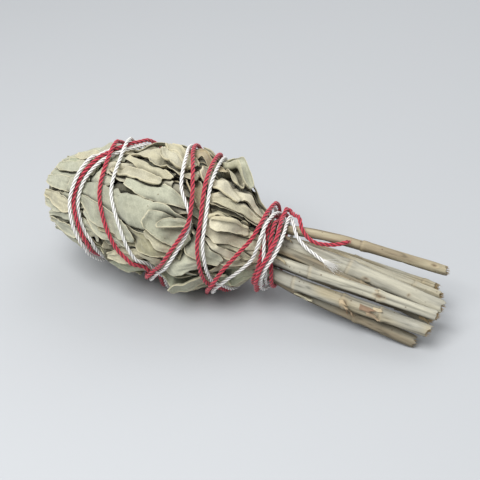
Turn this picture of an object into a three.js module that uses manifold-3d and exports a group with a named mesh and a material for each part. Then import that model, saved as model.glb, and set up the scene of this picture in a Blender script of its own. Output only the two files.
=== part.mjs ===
// White sage smudge stick: dried sage leaves packed round a bunch of cut stems and bound
// with a red and a white twisted cord. Millimetres, +Z up, lying on the surface z = 0.
// +X runs along the bundle, from the leaf tips to the cut stem ends.
import * as THREE from 'three';
import * as BufferGeometryUtils from 'three/addons/utils/BufferGeometryUtils.js';
import Module from 'manifold-3d';

const wasm = await Module();
wasm.setup();

// ---------------------------------------------------------------- driving dimensions
const AXIS_START = new THREE.Vector3(-91.75, -0.08, 38.6);   // leaf-tip end of the bundle's axis
const AXIS_FALL = THREE.MathUtils.degToRad(7.1);         // the axis drops towards the stem ends
// The bundle's outline: station along the axis, radius, and how far its centre stands
// above the axis there.
const OUTLINE = [
  [-8, 6, -2.5], [0, 11.5, -2.5], [8, 17.6, -1.4], [20, 24.2, 0], [35, 28.2, 0.8],
  [50, 31.4, 1.5], [65, 33, 1.9], [78, 30.5, 0.8], [90, 24.8, 0.2], [100, 18, 0],
  [107, 14.9, 0], [116, 14.8, 0], [190, 17.4, 0],
];
// By station: the share of its radius by which the lower front is flattened, at most.
const FLATTENED = [[0, 0], [30, 0.02], [50, 0.07], [88, 0.08], [98, 0.04], [105, 0], [190, 0]];
const FLATTENED_ANGLE = -44;
const FLATTENED_REACH = 36;      // degrees to each side
const RED_DIAMETER = 1.9;
const WHITE_DIAMETER = 1.6;
const CORD_SIDES = 6;
const LEAF_THICKNESS = 0.6;
const LEAF_GAP = 0.5;            // between a leaf and the one it lies on
const LEAF_BULGE = 1.2;          // how far leaves stand proud of the outline between cords
const CORD_CLEARANCE = 0.4;      // between a cord and what it lies on or crosses
const LEAF_SETTLE = 1.15;        // leaves at the bottom are pressed flat against the surface

const toRadians = THREE.MathUtils.degToRad;

// ---------------------------------------------------------------- bundle coordinates
// A place on the bundle is a station along its axis, an angle round it (0 towards -Y,
// 90 on top) and a distance from the axis.

// Smooth curve through a table's rows: column of the value wanted at a station.
function along(table, station, column) {
  const last = table.length - 1;
  let row = 0;
  while (row < last - 1 && station > table[row + 1][0]) row++;
  const [from, to] = [table[row], table[row + 1]];
  const span = to[0] - from[0];
  const t = THREE.MathUtils.clamp((station - from[0]) / span, 0, 1);
  const slope = (i) => {
    const before = table[Math.max(i - 1, 0)];
    const after = table[Math.min(i + 1, last)];
    return (after[column] - before[column]) / (after[0] - before[0]);
  };
  const rise = to[column] - from[column];
  const a = slope(row) * span - rise;
  const b = -slope(row + 1) * span + rise;
  return from[column] + t * rise + t * (1 - t) * ((1 - t) * a + t * b);
}

const outlineRadius = (station) => along(OUTLINE, station, 1);
const centreHeight = (station) => AXIS_START.z + along(OUTLINE, station, 2) - station * Math.sin(AXIS_FALL);

function outlineAt(station, angle) {
  const turn = ((((angle - FLATTENED_ANGLE) % 360) + 540) % 360) - 180;
  const away = Math.min(Math.abs(turn) / FLATTENED_REACH, 1);
  return outlineRadius(station) * (1 - along(FLATTENED, station, 1) * Math.cos(0.5 * Math.PI * away) ** 2);
}

function bundlePoint(station, angle, radius) {
  const a = toRadians(angle);
  return new THREE.Vector3(
    AXIS_START.x + station * Math.cos(AXIS_FALL) + radius * Math.sin(a) * Math.sin(AXIS_FALL),
    AXIS_START.y - radius * Math.cos(a),
    centreHeight(station) + radius * Math.sin(a) * Math.cos(AXIS_FALL),
  );
}

// The radius at which something with this much under it would touch the surface.
function floorRadius(station, angle, under) {
  const down = -Math.sin(toRadians(angle)) * Math.cos(AXIS_FALL);
  return down > 0.05 ? (centreHeight(station) - under) / down : Infinity;
}

// ---------------------------------------------------------------- cord routes
// Both cords start under the windings at the neck, run out over the leaves and back,
// are wound round the neck and end in a loose tail on the stems. Each stretch has its
// layer, as a later one lies over an earlier one. A point is [station, angle], or
// [station, angle, distance from the axis] where the cord has left the bundle's outline.
const RED_ROUTE = [
  { layer: 1, points: [[99.5, 135], [97, 190], [94.5, 245], [90.5, 295], [86.5, 334], [84.5, 347],
    [82.5, 367], [80, 385], [78.5, 404], [76.5, 420], [75, 433], [73.5, 453], [72, 475],
    [70, 500], [66, 525], [62.5, 560], [61.4, 605], [61.7, 645], [61.3, 672]] },
  { layer: 3, points: [[59.5, 694], [52, 706], [45.5, 716], [39, 732], [34, 748], [31, 762],
    [29, 781], [27.5, 806], [26, 832], [26, 865]] },
  { layer: 2, points: [[27, 915], [29, 970], [30, 1025], [29.5, 1058], [25, 1077], [21.5, 1092],
    [18.7, 1108], [18.5, 1126], [20, 1143], [23.2, 1158], [27.2, 1172], [31.2, 1185], [36.2, 1205],
    [42.4, 1245], [47.3, 1300], [50.5, 1340], [53.3, 1375]] },
  { layer: 4, points: [[56.6, 1397], [60, 1415], [66, 1434], [70.5, 1453], [73.5, 1468],
    [74.6, 1480], [72.7, 1496], [68.5, 1516], [62.5, 1542], [60.5, 1570], [66.5, 1605], [72, 1640],
    [78, 1690], [83, 1740]] },
  { layer: 5, points: [[86.3, 1770], [89.6, 1789], [92.7, 1805], [95.1, 1816], [97.4, 1829]] },
  { layer: 7, points: [[99.6, 1845], [101, 1864], [101.4, 1880], [101.5, 1897], [101.8, 1916],
    [102.2, 1935], [102.6, 1962], [102.8, 1985], [102.9, 2015], [102.6, 2050]] },
  { layer: 5, points: [[102.8, 2090], [103.2, 2125],
    [103.9, 2143], [104.7, 2155], [105, 2175], [105, 2194], [104.9, 2210], [104.6, 2223],
    [103.9, 2237], [103.4, 2252], [103.5, 2270]] },
  { layer: 6, points: [[104.6, 2297], [107, 2332], [109.4, 2372], [111, 2412], [111.8, 2452],
    [111.6, 2486], [111, 2517], [109.9, 2535], [108.4, 2556], [107.2, 2575], [106.5, 2591],
    [105.9, 2611], [106.6, 2633]] },
  { layer: 7, points: [[107.6, 2665], [107.6, 2700], [106.8, 2745], [105.9, 2790], [105.6, 2822]] },
  { layer: 8, points: [[105.8, 2848], [106.2, 2868], [106.8, 2881], [107.6, 2895], [108.8, 2908],
    [109.6, 2921], [109.8, 2935], [109.3, 2951], [108.6, 2967], [107.9, 2985], [107.6, 2999],
    [108.1, 3009, 14.9], [109.5, 3009, 15], [112, 2998, 16.2], [114.6, 2989, 16.6],
    [117.8, 2978, 15], [121.2, 2972, 13.2], [124.2, 2971, 12], [127.2, 2974, 11.4],
    [131.2, 2983, 11.4], [134.5, 2985, 12.6], [137, 2985, 14.2], [139.2, 2987, 15.6]] },
];
const WHITE_ROUTE = [
  { layer: 1, points: [[102, 135], [99.5, 190], [97, 245], [93.5, 292], [88.5, 330], [86.8, 347],
    [84.4, 370], [82, 387], [80.6, 404], [78.7, 421], [77.2, 434], [75.8, 454], [74.5, 475],
    [72.5, 500], [68.7, 527], [65.3, 562], [64, 607], [64.2, 645], [63.6, 670]] },
  { layer: 3, points: [[61.5, 690], [57.5, 704], [52, 718], [46.5, 734], [41, 749], [37, 762],
    [35.2, 775], [33.6, 794], [31.8, 815], [30.6, 838], [31, 865]] },
  { layer: 2, points: [[33, 915], [35, 970], [34, 1025], [31, 1060], [26.5, 1074], [22.8, 1090],
    [20.6, 1107], [20.5, 1127], [22.4, 1144], [25.9, 1159], [29.9, 1173], [34.2, 1190],
    [38.6, 1222]] },
  { layer: 3, points: [[39.6, 1270], [36, 1330], [31, 1385], [27, 1420]] },
  { layer: 3, points: [[22.9, 1437], [19.9, 1452], [17.9, 1466],
    [17.5, 1484], [18.4, 1502]] },
  { layer: 2, points: [[20.9, 1520], [24.4, 1536], [28.4, 1550], [33.4, 1568]] },
  { layer: 4, points: [[40.4, 1605], [49.6, 1660], [52.9, 1700], [55.8, 1735],
    [59, 1757], [62.2, 1774], [67.8, 1791], [72.4, 1812], [74.8, 1830],
    [74.2, 1842], [70.9, 1851], [67, 1860], [64.6, 1872], [62, 1890], [59, 1912], [58.4, 1938],
    [66, 1962], [74.4, 2000], [80.6, 2050], [85.4, 2092]] },
  { layer: 5, points: [[88.4, 2129], [92.6, 2142], [96.1, 2151], [99.5, 2162]] },
  { layer: 7, points: [[102, 2177], [103.2, 2197], [103.4, 2210], [103.5, 2226], [103.7, 2242],
    [104.1, 2258], [104.6, 2275], [105.6, 2305], [106.2, 2328], [106.8, 2352],
    [107.4, 2385]] },
  { layer: 5, points: [[108.5, 2420], [108.5, 2460]] },
  { layer: 6, points: [[108.6, 2490], [108.8, 2506], [108.2, 2522], [107.2, 2537], [106, 2556],
    [104.7, 2571], [103, 2585], [101.9, 2598], [101.2, 2612], [101, 2632], [101.6, 2668],
    [103.2, 2705], [104.6, 2748], [105.8, 2790], [106.7, 2825]] },
  { layer: 7, points: [[107, 2846], [107.1, 2870], [107.8, 2895], [109.2, 2910], [110.2, 2921],
    [110, 2932], [109, 2948], [108.1, 2970], [108.6, 2990], [110, 3022], [111.2, 3062],
    [111, 3105], [109.6, 3155]] },
  { layer: 8, points: [[107.5, 3200], [107.6, 3215], [107.9, 3229], [108.6, 3243], [109.5, 3255],
    [110.9, 3267], [111.6, 3279], [111.9, 3292], [111.7, 3306], [111.2, 3321], [110.4, 3338],
    [110.2, 3350, 17], [111, 3356, 17.2], [112.3, 3351, 16.7], [113.7, 3343, 15.8],
    [115.1, 3334, 14.4],
    [117.2, 3324, 13.2], [119.8, 3317, 11.8], [123.2, 3309, 10.6], [126.2, 3305, 9.7],
    [129.2, 3299, 9], [132, 3295, 8.7]] },
];
const ROUTE_STEP = 1.25;         // spacing of the samples along a route
const HUMP_REACH = 7;            // a cord rises over another across this length on each side
const EASE_PASSES = 12;          // rounds of easing strands apart that still touch
const EASE_CLEARANCE = 0.2;
const SINK_REACH = 14;           // where cords cross, they press into the leaves this far around
// By station: the share of a crossing's rise that they press into the leaves.
const SINK_SHARE = [[0, 0.6], [36, 0.6], [52, 1], [72, 1], [88, 0.6], [96, 0.5], [104, 0.3], [190, 0.3]];

// Evenly spaced samples of a route: station, angle, distance from the axis, layer.
function sampleRoute(route, diameter) {
  const rows = route.flatMap(({ layer, points }) => points.map((p) => ({ p, layer })));
  const half = diameter / 2;
  const onOutline = (s, a) => Math.min(outlineAt(s, a) + half, floorRadius(s, a, half + 0.1));
  const knots = rows.map(({ p }) => new THREE.Vector3(p[0], p[1], p[2] ?? 0));
  const loose = rows.map(({ p }) => (p.length > 2 ? 1 : 0));
  const curve = new THREE.CatmullRomCurve3(knots, false, 'catmullrom', 0.5);
  const spans = knots.length - 1;
  const dense = [];
  for (let i = 0; i <= spans * 40; i++) {
    const t = i / (spans * 40);
    const k = Math.min(Math.floor(t * spans), spans - 1);
    const f = t * spans - k;
    const q = curve.getPoint(t);
    const hold = onOutline(q.x, q.y);
    let radius = hold;
    if (loose[k] && loose[k + 1]) radius = q.z;
    else if (loose[k + 1]) radius = THREE.MathUtils.lerp(hold, knots[k + 1].z, f * f * (3 - 2 * f));
    dense.push({ station: q.x, angle: q.y, radius, layer: rows[f < 0.5 ? k : k + 1].layer });
  }
  const samples = [dense[0]];
  let length = 0;
  for (let i = 1; i < dense.length; i++) {
    const [a, b] = [dense[i - 1], dense[i]];
    length += bundlePoint(a.station, a.angle, a.radius).distanceTo(bundlePoint(b.station, b.angle, b.radius));
    if (length >= ROUTE_STEP * samples.length) samples.push(b);
  }
  return samples.map((s, index) => ({ ...s, index, diameter, lift: 0 }));
}

// Distance between two samples on the bundle's unrolled surface.
function surfaceDistance(a, b) {
  const turn = (((a.angle - b.angle) % 360) + 540) % 360 - 180;
  return Math.hypot(a.station - b.station, toRadians(turn) * 0.5 * (a.radius + b.radius));
}

// A cord that comes to another one rises over it in a low hump. Stretches are laid in
// the order of their layers, the white one first in each.
function layCords(cords) {
  const laid = [];
  const layers = [...new Set(cords.flat().map((s) => s.layer))].sort((a, b) => a - b);
  for (const layer of layers) {
    for (const cord of cords) {
      const stretch = cord.filter((s) => s.layer === layer);
      const needs = stretch.map((s) => {
        let need = 0;
        for (const o of laid) {
          if (o.cord === cord && Math.abs(o.sample.index - s.index) * ROUTE_STEP < 10) continue;
          const apart = (o.sample.diameter + s.diameter) / 2 + CORD_CLEARANCE;
          const d = surfaceDistance(o.sample, s);
          if (d >= apart) continue;
          const top = o.sample.radius + o.sample.lift - s.radius;
          need = Math.max(need, top + Math.sqrt(apart * apart - d * d));
        }
        return need;
      });
      stretch.forEach((s, i) => {
        for (let j = 0; j < stretch.length; j++) {
          const reach = Math.abs(stretch[j].index - s.index) * ROUTE_STEP / HUMP_REACH;
          if (reach < 1) s.lift = Math.max(s.lift, needs[j] * humpShape(reach));
        }
      });
      laid.push(...stretch.map((sample) => ({ sample, cord })));
    }
  }
  for (const cord of cords) {
    const lifts = cord.map((s) => s.lift);
    cord.forEach((s, i) => {
      for (let j = Math.max(0, i - 6); j < Math.min(cord.length, i + 7); j++) {
        s.lift = Math.max(s.lift, lifts[j] * humpShape(Math.abs(i - j) * ROUTE_STEP / HUMP_REACH));
      }
    });
  }
  const all = cords.flat();
  const sinks = all.map((s) => {
    let rise = 0;
    for (const o of all) {
      if (o.lift > rise) rise = Math.max(rise, o.lift * humpShape(surfaceDistance(o, s) / SINK_REACH));
    }
    return rise * along(SINK_SHARE, s.station, 1);
  });
  all.forEach((s, i) => { s.lift -= sinks[i]; });
}

// Wherever two strands still touch, the outer one is eased outwards.
function easeApart(cords) {
  const pairs = [];
  cords.forEach((cord, which) => cord.forEach((a) => {
    for (const other of cords.slice(which)) {
      for (const b of other) {
        if (other === cord && (b.index - a.index) * ROUTE_STEP < 10) continue;
        const apart = (a.diameter + b.diameter) / 2 + EASE_CLEARANCE;
        const d = surfaceDistance(a, b);
        if (d < apart) pairs.push([a, b, Math.sqrt(apart * apart - d * d)]);
      }
    }
  }));
  for (let pass = 0; pass < EASE_PASSES; pass++) {
    for (const s of cords.flat()) s.push = 0;
    for (const [a, b, need] of pairs) {
      const rise = a.radius + a.lift - b.radius - b.lift;
      const outer = rise > 0 ? a : b;
      outer.push = Math.max(outer.push, 0.7 * (need - Math.abs(rise)));
    }
    for (const cord of cords) {
      cord.forEach((s, i) => {
        let most = 0;
        for (let j = Math.max(0, i - 5); j < Math.min(cord.length, i + 6); j++) {
          const reach = Math.abs(i - j) * ROUTE_STEP / HUMP_REACH;
          most = Math.max(most, cord[j].push * humpShape(reach));
        }
        s.lift += most;
      });
    }
  }
}

function humpShape(reach) {
  const t = THREE.MathUtils.clamp((reach - 0.15) / 0.85, 0, 1);
  return 0.5 + 0.5 * Math.cos(Math.PI * t);
}

const whiteSamples = sampleRoute(WHITE_ROUTE, WHITE_DIAMETER);
const redSamples = sampleRoute(RED_ROUTE, RED_DIAMETER);
layCords([whiteSamples, redSamples]);
easeApart([whiteSamples, redSamples]);

// A path through given points, so that an extruded tube has a ring at each of them.
class RoutePath extends THREE.Curve {
  constructor(points) {
    super();
    this.points = points;
  }

  getPointAt(u, target = new THREE.Vector3()) {
    return target.copy(this.points[Math.round(u * (this.points.length - 1))]);
  }

  getTangentAt(u, target = new THREE.Vector3()) {
    const i = Math.round(u * (this.points.length - 1));
    const before = this.points[Math.max(i - 1, 0)];
    const after = this.points[Math.min(i + 1, this.points.length - 1)];
    return target.subVectors(after, before).normalize();
  }

  getPoint(t, target) {
    return this.getPointAt(t, target);
  }
}

// Rings stand closer together where the cord rises over another one or turns sharply.
function cordGeometry(samples, diameter) {
  const points = [];
  let sinceRing = Infinity;
  samples.forEach((s, i) => {
    const spacing = s.layer >= 8 ? 2.5 : s.lift > 0.15 ? 3.7 : 5.6;
    sinceRing += ROUTE_STEP;
    if (sinceRing >= spacing || i === samples.length - 1) {
      points.push(bundlePoint(s.station, s.angle, s.radius + s.lift));
      sinceRing = 0;
    }
  });
  return tubeGeometry(points, diameter, CORD_SIDES);
}

function tubeGeometry(points, diameter, sides) {
  const section = new THREE.Shape();
  for (let i = 0; i < sides; i++) {
    const a = (i / sides) * 2 * Math.PI;
    const [x, y] = [Math.cos(a) * diameter / 2, Math.sin(a) * diameter / 2];
    if (i) section.lineTo(x, y);
    else section.moveTo(x, y);
  }
  const steps = points.length - 1;
  return new THREE.ExtrudeGeometry(section, { steps, extrudePath: new RoutePath(points) });
}

// ---------------------------------------------------------------- room for the leaves
// The highest a leaf may stand, on a grid of stations and angles: under the cords, above
// the surface, and a little proud of the outline in between. Each leaf that is placed
// lowers it for the leaves beneath.
const CELL_STATION = 1;
const CELL_ANGLE = 3;
const FIRST_STATION = -10;
const STATION_CELLS = 130;
const ANGLE_CELLS = 360 / CELL_ANGLE;

class RoomGrid {
  constructor() {
    this.cells = new Float64Array(STATION_CELLS * ANGLE_CELLS);
    for (let i = 0; i < STATION_CELLS; i++) {
      for (let j = 0; j < ANGLE_CELLS; j++) {
        const [s, a] = [FIRST_STATION + i * CELL_STATION, j * CELL_ANGLE];
        const open = Math.min(outlineAt(s, a) + LEAF_BULGE, floorRadius(s, a, -LEAF_SETTLE));
        this.cells[i * ANGLE_CELLS + j] = open + LEAF_GAP;
      }
    }
  }

  // Lowers the cells round a place to a limit that rises with the distance from it.
  press(station, angle, reach, limitAt) {
    const r = Math.max(outlineRadius(station), 8);
    const di = Math.ceil(reach / CELL_STATION);
    const dj = Math.ceil(THREE.MathUtils.radToDeg(reach / r) / CELL_ANGLE);
    const ci = Math.round((station - FIRST_STATION) / CELL_STATION);
    const cj = Math.round(angle / CELL_ANGLE);
    for (let i = Math.max(0, ci - di); i <= Math.min(STATION_CELLS - 1, ci + di); i++) {
      for (let j = cj - dj; j <= cj + dj; j++) {
        const ds = FIRST_STATION + i * CELL_STATION - station;
        const da = toRadians(j * CELL_ANGLE - angle) * r;
        const d = Math.hypot(ds, da);
        if (d > reach) continue;
        const k = i * ANGLE_CELLS + ((j % ANGLE_CELLS) + ANGLE_CELLS) % ANGLE_CELLS;
        this.cells[k] = Math.min(this.cells[k], limitAt(d));
      }
    }
  }

  // The lowest limit within reach of a place.
  lowest(station, angle, reach) {
    let low = Infinity;
    const r = Math.max(outlineRadius(station), 8);
    const di = Math.ceil(reach / CELL_STATION);
    const dj = Math.ceil(THREE.MathUtils.radToDeg(reach / r) / CELL_ANGLE);
    const ci = Math.round((station - FIRST_STATION) / CELL_STATION);
    const cj = Math.round(angle / CELL_ANGLE);
    for (let i = ci - di; i <= ci + di; i++) {
      const row = THREE.MathUtils.clamp(i, 0, STATION_CELLS - 1);
      for (let j = cj - dj; j <= cj + dj; j++) {
        const k = row * ANGLE_CELLS + ((j % ANGLE_CELLS) + ANGLE_CELLS) % ANGLE_CELLS;
        low = Math.min(low, this.cells[k]);
      }
    }
    return low;
  }
}

const room = new RoomGrid();
for (const s of [...whiteSamples, ...redSamples]) {
  if (s.station > 118) continue;
  const under = s.radius + s.lift - s.diameter / 2 - CORD_CLEARANCE + LEAF_GAP;
  room.press(s.station, s.angle, 4.5, (d) => under + Math.max(0, d - s.diameter / 2 - 0.6) * 0.9);
}

// ---------------------------------------------------------------- leaves
// Each leaf: stalk end [station, angle], tip [station, angle], width, and how far the
// middle of its midrib bends sideways. Listed from the outermost inwards.
const LEAVES = [
  // Outermost on the side seen from -Y.
  ['broad_leaf', [75, 33], [13, 41], 17, 3],
  ['top_leaf', [70, 76], [30, 98], 15, 1],
  ['second_leaf', [58, 20], [22, 34], 14, 2],
  ['tucked_round_leaf', [78, 26], [55, 30], 14, 0],
  ['olive_leaf', [74, 9], [34, 12], 13, -2],
  ['curled_neck_leaf', [104, 54], [79, 44], 14, 2],
  ['standing_leaf', [91, 108], [74, 112], 13, 0],
  ['neck_leaf_upper', [103, 100], [76, 74], 12, -2],
  ['neck_leaf_middle', [103, 78], [78, 60], 9, -1],
  ['lower_sweep_leaf', [84, 6], [44, -6], 12, 2],
  ['belly_leaf', [84, -24], [44, -24], 14, 0],
  ['neck_belly_leaf', [103, -24], [74, -28], 15, 0],
  ['neck_lower_leaf', [103, 8], [78, 20], 12, 1],
  ['side_sweep_leaf', [54, 4], [20, 20], 9, 2],
  ['fold_leaf_between_cords', [80, 48], [58, 92], 10, 0],
  ['cream_leaf', [62, 60], [28, 68], 12, 1],
  ['tip_leaf_front', [34, 28], [0.5, 16], 13, 0],
  ['tip_leaf_upper', [34, 56], [-0.5, 58], 12, 1],
  ['tip_leaf_top', [34, 84], [1, 92], 13, 0],
  ['tip_leaf_low', [34, -4], [4, -14], 12, -1],
  ['tip_leaf_under', [38, -34], [6, -44], 13, 0],
];
// The far side and the underside are covered in the same way, in two staggered courses
// and a ring of tips: [first angle, angle apart, count, stalk end, tip, width, bend].
const COURSES = [
  ['far_upper_leaf', 138, 31, 6, [82, 32], 17, 2],
  ['far_neck_leaf', 128, 36, 6, [104, 66], 14, -2],
  ['far_tip_leaf', 122, 33, 6, [48, 2.5], 15, 1],
];
for (const [name, first, apart, count, [stalk, tip], width, bend] of COURSES) {
  for (let i = 0; i < count; i++) {
    const angle = first + i * apart;
    const shift = i % 2 ? 2 : -2;
    LEAVES.push([`${name}_${i + 1}`, [stalk + shift, angle], [tip + shift, angle - 9], width, bend]);
  }
}
const LEAF_STEPS = 8;
const LEAF_STRIPS = 3;

// Half the leaf's width along its length: a short stalk, widest past the middle, a blunt tip.
function halfWidth(t, width) {
  return 0.5 * width * (0.16 + 0.84 * Math.sin(Math.PI * Math.min(1, 0.04 + 0.93 * t)) ** 0.75);
}

// Joins two equal grids of points, the second one under the first, into one closed plate.
function plateGeometry(upper, under) {
  const [rows, columns] = [upper.length, upper[0].length];
  const points = [...upper.flat(), ...under.flat()];
  const id = (side, i, j) => side * rows * columns + i * columns + j;
  const faces = [];
  for (let i = 0; i < rows - 1; i++) {
    for (let j = 0; j < columns - 1; j++) {
      const top = [id(0, i, j), id(0, i + 1, j), id(0, i + 1, j + 1), id(0, i, j + 1)];
      const low = [id(1, i, j), id(1, i, j + 1), id(1, i + 1, j + 1), id(1, i + 1, j)];
      faces.push(top[0], top[1], top[2], top[0], top[2], top[3]);
      faces.push(low[0], low[1], low[2], low[0], low[2], low[3]);
    }
  }
  const rim = [];
  for (let i = 0; i < rows - 1; i++) rim.push([i, 0]);
  for (let j = 0; j < columns - 1; j++) rim.push([rows - 1, j]);
  for (let i = rows - 1; i > 0; i--) rim.push([i, columns - 1]);
  for (let j = columns - 1; j > 0; j--) rim.push([0, j]);
  rim.forEach(([i, j], k) => {
    const [m, n] = rim[(k + 1) % rim.length];
    faces.push(id(0, i, j), id(1, i, j), id(1, m, n), id(0, i, j), id(1, m, n), id(0, m, n));
  });
  return indexedGeometry(points, faces);
}

function indexedGeometry(points, faces) {
  const geometry = new THREE.BufferGeometry();
  geometry.setAttribute('position', new THREE.Float32BufferAttribute(points.flatMap((p) => p.toArray()), 3));
  geometry.setIndex(faces);
  return signedVolume(points, faces) < 0 ? indexedGeometry(points, faces.slice().reverse()) : geometry;
}

function signedVolume(points, faces) {
  let volume = 0;
  for (let k = 0; k < faces.length; k += 3) {
    const [a, b, c] = [points[faces[k]], points[faces[k + 1]], points[faces[k + 2]]];
    volume += a.dot(new THREE.Vector3().crossVectors(b, c)) / 6;
  }
  return volume;
}

// Lays one leaf as high as the room allows, and takes the room it fills.
function leafGeometry([, stalk, tip, width, bend]) {
  const middle = outlineRadius((stalk[0] + tip[0]) / 2);
  const run = new THREE.Vector2(tip[0] - stalk[0], toRadians(tip[1] - stalk[1]) * middle);
  const side = new THREE.Vector2(-run.y, run.x).normalize();
  const places = [];
  for (let i = 0; i <= LEAF_STEPS; i++) {
    const t = i / LEAF_STEPS;
    const bow = bend * Math.sin(Math.PI * t);
    const half = halfWidth(t, width);
    const row = [];
    for (let j = 0; j <= LEAF_STRIPS; j++) {
      const across = bow + half * ((2 * j) / LEAF_STRIPS - 1);
      const station = stalk[0] + run.x * t + side.x * across;
      const arc = run.y * t + side.y * across;
      const local = Math.max(outlineRadius(station), 10);
      const angle = stalk[1] + THREE.MathUtils.radToDeg(arc / (0.5 * (middle + local)));
      row.push({ station, angle });
    }
    places.push(row);
  }
  const limits = places.map((row) => row.map((p) => room.lowest(p.station, p.angle, 3.6) - LEAF_GAP));
  const heights = limits.map((row) => row.slice());
  for (let pass = 0; pass < 3; pass++) {
    const before = heights.map((row) => row.slice());
    heights.forEach((row, i) => row.forEach((_, j) => {
      const near = [before[i - 1]?.[j], before[i + 1]?.[j], before[i][j - 1], before[i][j + 1]];
      const known = near.filter((h) => h !== undefined);
      const mean = (known.reduce((a, b) => a + b, 0) + before[i][j]) / (known.length + 1);
      heights[i][j] = Math.min(mean, limits[i][j]);
    }));
  }
  const grid = (depth) => places.map((row, i) => row.map((p, j) => (
    bundlePoint(p.station, p.angle, heights[i][j] - depth))));
  places.forEach((row, i) => row.forEach((p, j) => {
    const next = places[i + 1]?.[j] ?? p;
    const aside = row[j + 1] ?? p;
    const far = places[i + 1]?.[j + 1] ?? p;
    for (let u = 0; u < 1; u += 0.2) {
      for (let v = 0; v < 1; v += 0.25) {
        const mix = (key) => (1 - u) * (1 - v) * p[key] + u * (1 - v) * next[key]
          + (1 - u) * v * aside[key] + u * v * far[key];
        const corners = [heights[i][j], heights[i + 1]?.[j], heights[i]?.[j + 1], heights[i + 1]?.[j + 1]];
        const low = Math.min(...corners.filter((h) => h !== undefined)) - LEAF_THICKNESS - 0.15;
        room.press(mix('station'), mix('angle'), 1.2, () => low);
      }
    }
  }));
  return plateGeometry(grid(0), grid(LEAF_THICKNESS));
}

// ---------------------------------------------------------------- stems
// Each stem: name, diameter, its place [sideways, up] in the neck, the same at the cut
// end, the cut end's station, and the stations of its leaf nodes.
const STEMS = [
  ['stem_top', 4.4, [4, 13.2], [13, 8.5], 182, [149, 176]],
  ['stem_far', 3.7, [11, 0.8], [13, -1.5], 180.5, [140, 146, 177]],
  ['stem_hidden', 3.4, [6.6, 5.4], [7.2, -0.8], 183, [170]],
  ['stem_thick', 6.4, [1, 6.6], [-2.5, 0.6], 185, [141]],
  ['stem_brown', 4.4, [-6.8, 8.8], [-4, -7], 181.5, [150]],
  ['stem_front', 4.8, [-11, 3.9], [-8.7, 0.5], 184.5, [125, 154]],
  ['stem_torn', 5.9, [-10.9, -5.1], [-13.5, -5], 183, [119, 143, 158]],
  ['stem_low', 5.6, [-5.8, -11.1], [-12.5, -14], 178, [150]],
  ['stem_back_low', 5.2, [6, -11.2], [8, -13.9], 181, [136, 166]],
  ['stem_core', 4.6, [0.4, -2], [2, -9], 180, [160]],
];
const NECK_STATION = 110;
const STEM_SIDES = 8;
// By station: how far a stem lies from the axis and how thick it is, as a share of its
// full place and thickness. The cords pinch the stems in the neck.
const INSIDE = [[40, 0.6, 0.42], [60, 0.6, 0.5], [80, 0.6, 0.62], [94, 0.66, 0.76], [103, 0.76, 0.86],
  [NECK_STATION, 0.8, 0.9], [116, 0.92, 0.97], [124, 1, 1], [190, 1, 1]];

function stemCentre([, , neck, end, last], station) {
  const share = along(INSIDE, station, 1);
  const t = Math.max(0, (station - NECK_STATION) / (last - NECK_STATION));
  const bow = Math.sin(Math.PI * t) * 0.5;
  const out = [neck[0] * share + (end[0] - neck[0]) * t, neck[1] * share + (end[1] - neck[1]) * t + bow];
  return new THREE.Vector3(
    AXIS_START.x + station * Math.cos(AXIS_FALL) + out[1] * Math.sin(AXIS_FALL),
    AXIS_START.y + out[0],
    centreHeight(station) + out[1] * Math.cos(AXIS_FALL),
  );
}

function stemRadius([, diameter, , , , nodes], station) {
  const share = along(INSIDE, station, 2);
  const swell = nodes.reduce((sum, n) => sum + 0.1 * Math.exp(-(((station - n) / 1.6) ** 2)), 0);
  return (diameter / 2) * share * (1 + swell);
}

// Closed tube through rings of points.
function loftGeometry(rings) {
  const sides = rings[0].length;
  const points = rings.flat();
  const faces = [];
  for (let i = 0; i < rings.length - 1; i++) {
    for (let j = 0; j < sides; j++) {
      const [a, b] = [i * sides + j, i * sides + ((j + 1) % sides)];
      faces.push(a, b, b + sides, a, b + sides, a + sides);
    }
  }
  const last = (rings.length - 1) * sides;
  for (let j = 1; j < sides - 1; j++) {
    faces.push(0, j + 1, j);
    faces.push(last, last + j, last + j + 1);
  }
  return indexedGeometry(points, faces);
}

function stemGeometry(stem, clearance, from, to) {
  const stations = new Set([from, to]);
  for (let s = Math.ceil(from / 9) * 9; s < to; s += 9) stations.add(s);
  for (const n of stem[5]) [n - 2, n, n + 2].forEach((s) => s > from && s < to && stations.add(s));
  const sorted = [...stations].sort((a, b) => a - b).filter((s, i, all) => !i || s - all[i - 1] > 0.9);
  const rings = sorted.map((s) => {
    const centre = stemCentre(stem, s);
    const tangent = stemCentre(stem, s + 1).sub(stemCentre(stem, s - 1)).normalize();
    const across = new THREE.Vector3(0, 1, 0).addScaledVector(tangent, -tangent.y).normalize();
    const up = new THREE.Vector3().crossVectors(tangent, across);
    const radius = stemRadius(stem, s) + clearance;
    return Array.from({ length: STEM_SIDES }, (_, k) => {
      const a = ((k + 0.5) / STEM_SIDES) * 2 * Math.PI;
      const [sideways, rise] = [radius * Math.cos(a), radius * Math.sin(a)];
      return centre.clone().addScaledVector(across, sideways).addScaledVector(up, rise);
    });
  });
  return loftGeometry(rings);
}

// ---------------------------------------------------------------- broken bits
// Short ends of twig lying among the stems: name, diameter, and the places
// [station, sideways, up] it runs through.
const TWIGS = [
  ['petiole_stub', 1.2, [[111, -12.4, 7.3], [113.4, -12.8, 7.5], [115.4, -13.1, 6.9], [116.8, -13.2, 5.9]]],
  ['broken_twig', 1.4, [[108.6, 0, 11.7], [111.4, -1.2, 11], [114.2, -2.4, 10.4]]],
];
const TWIG_SIDES = 6;
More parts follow.
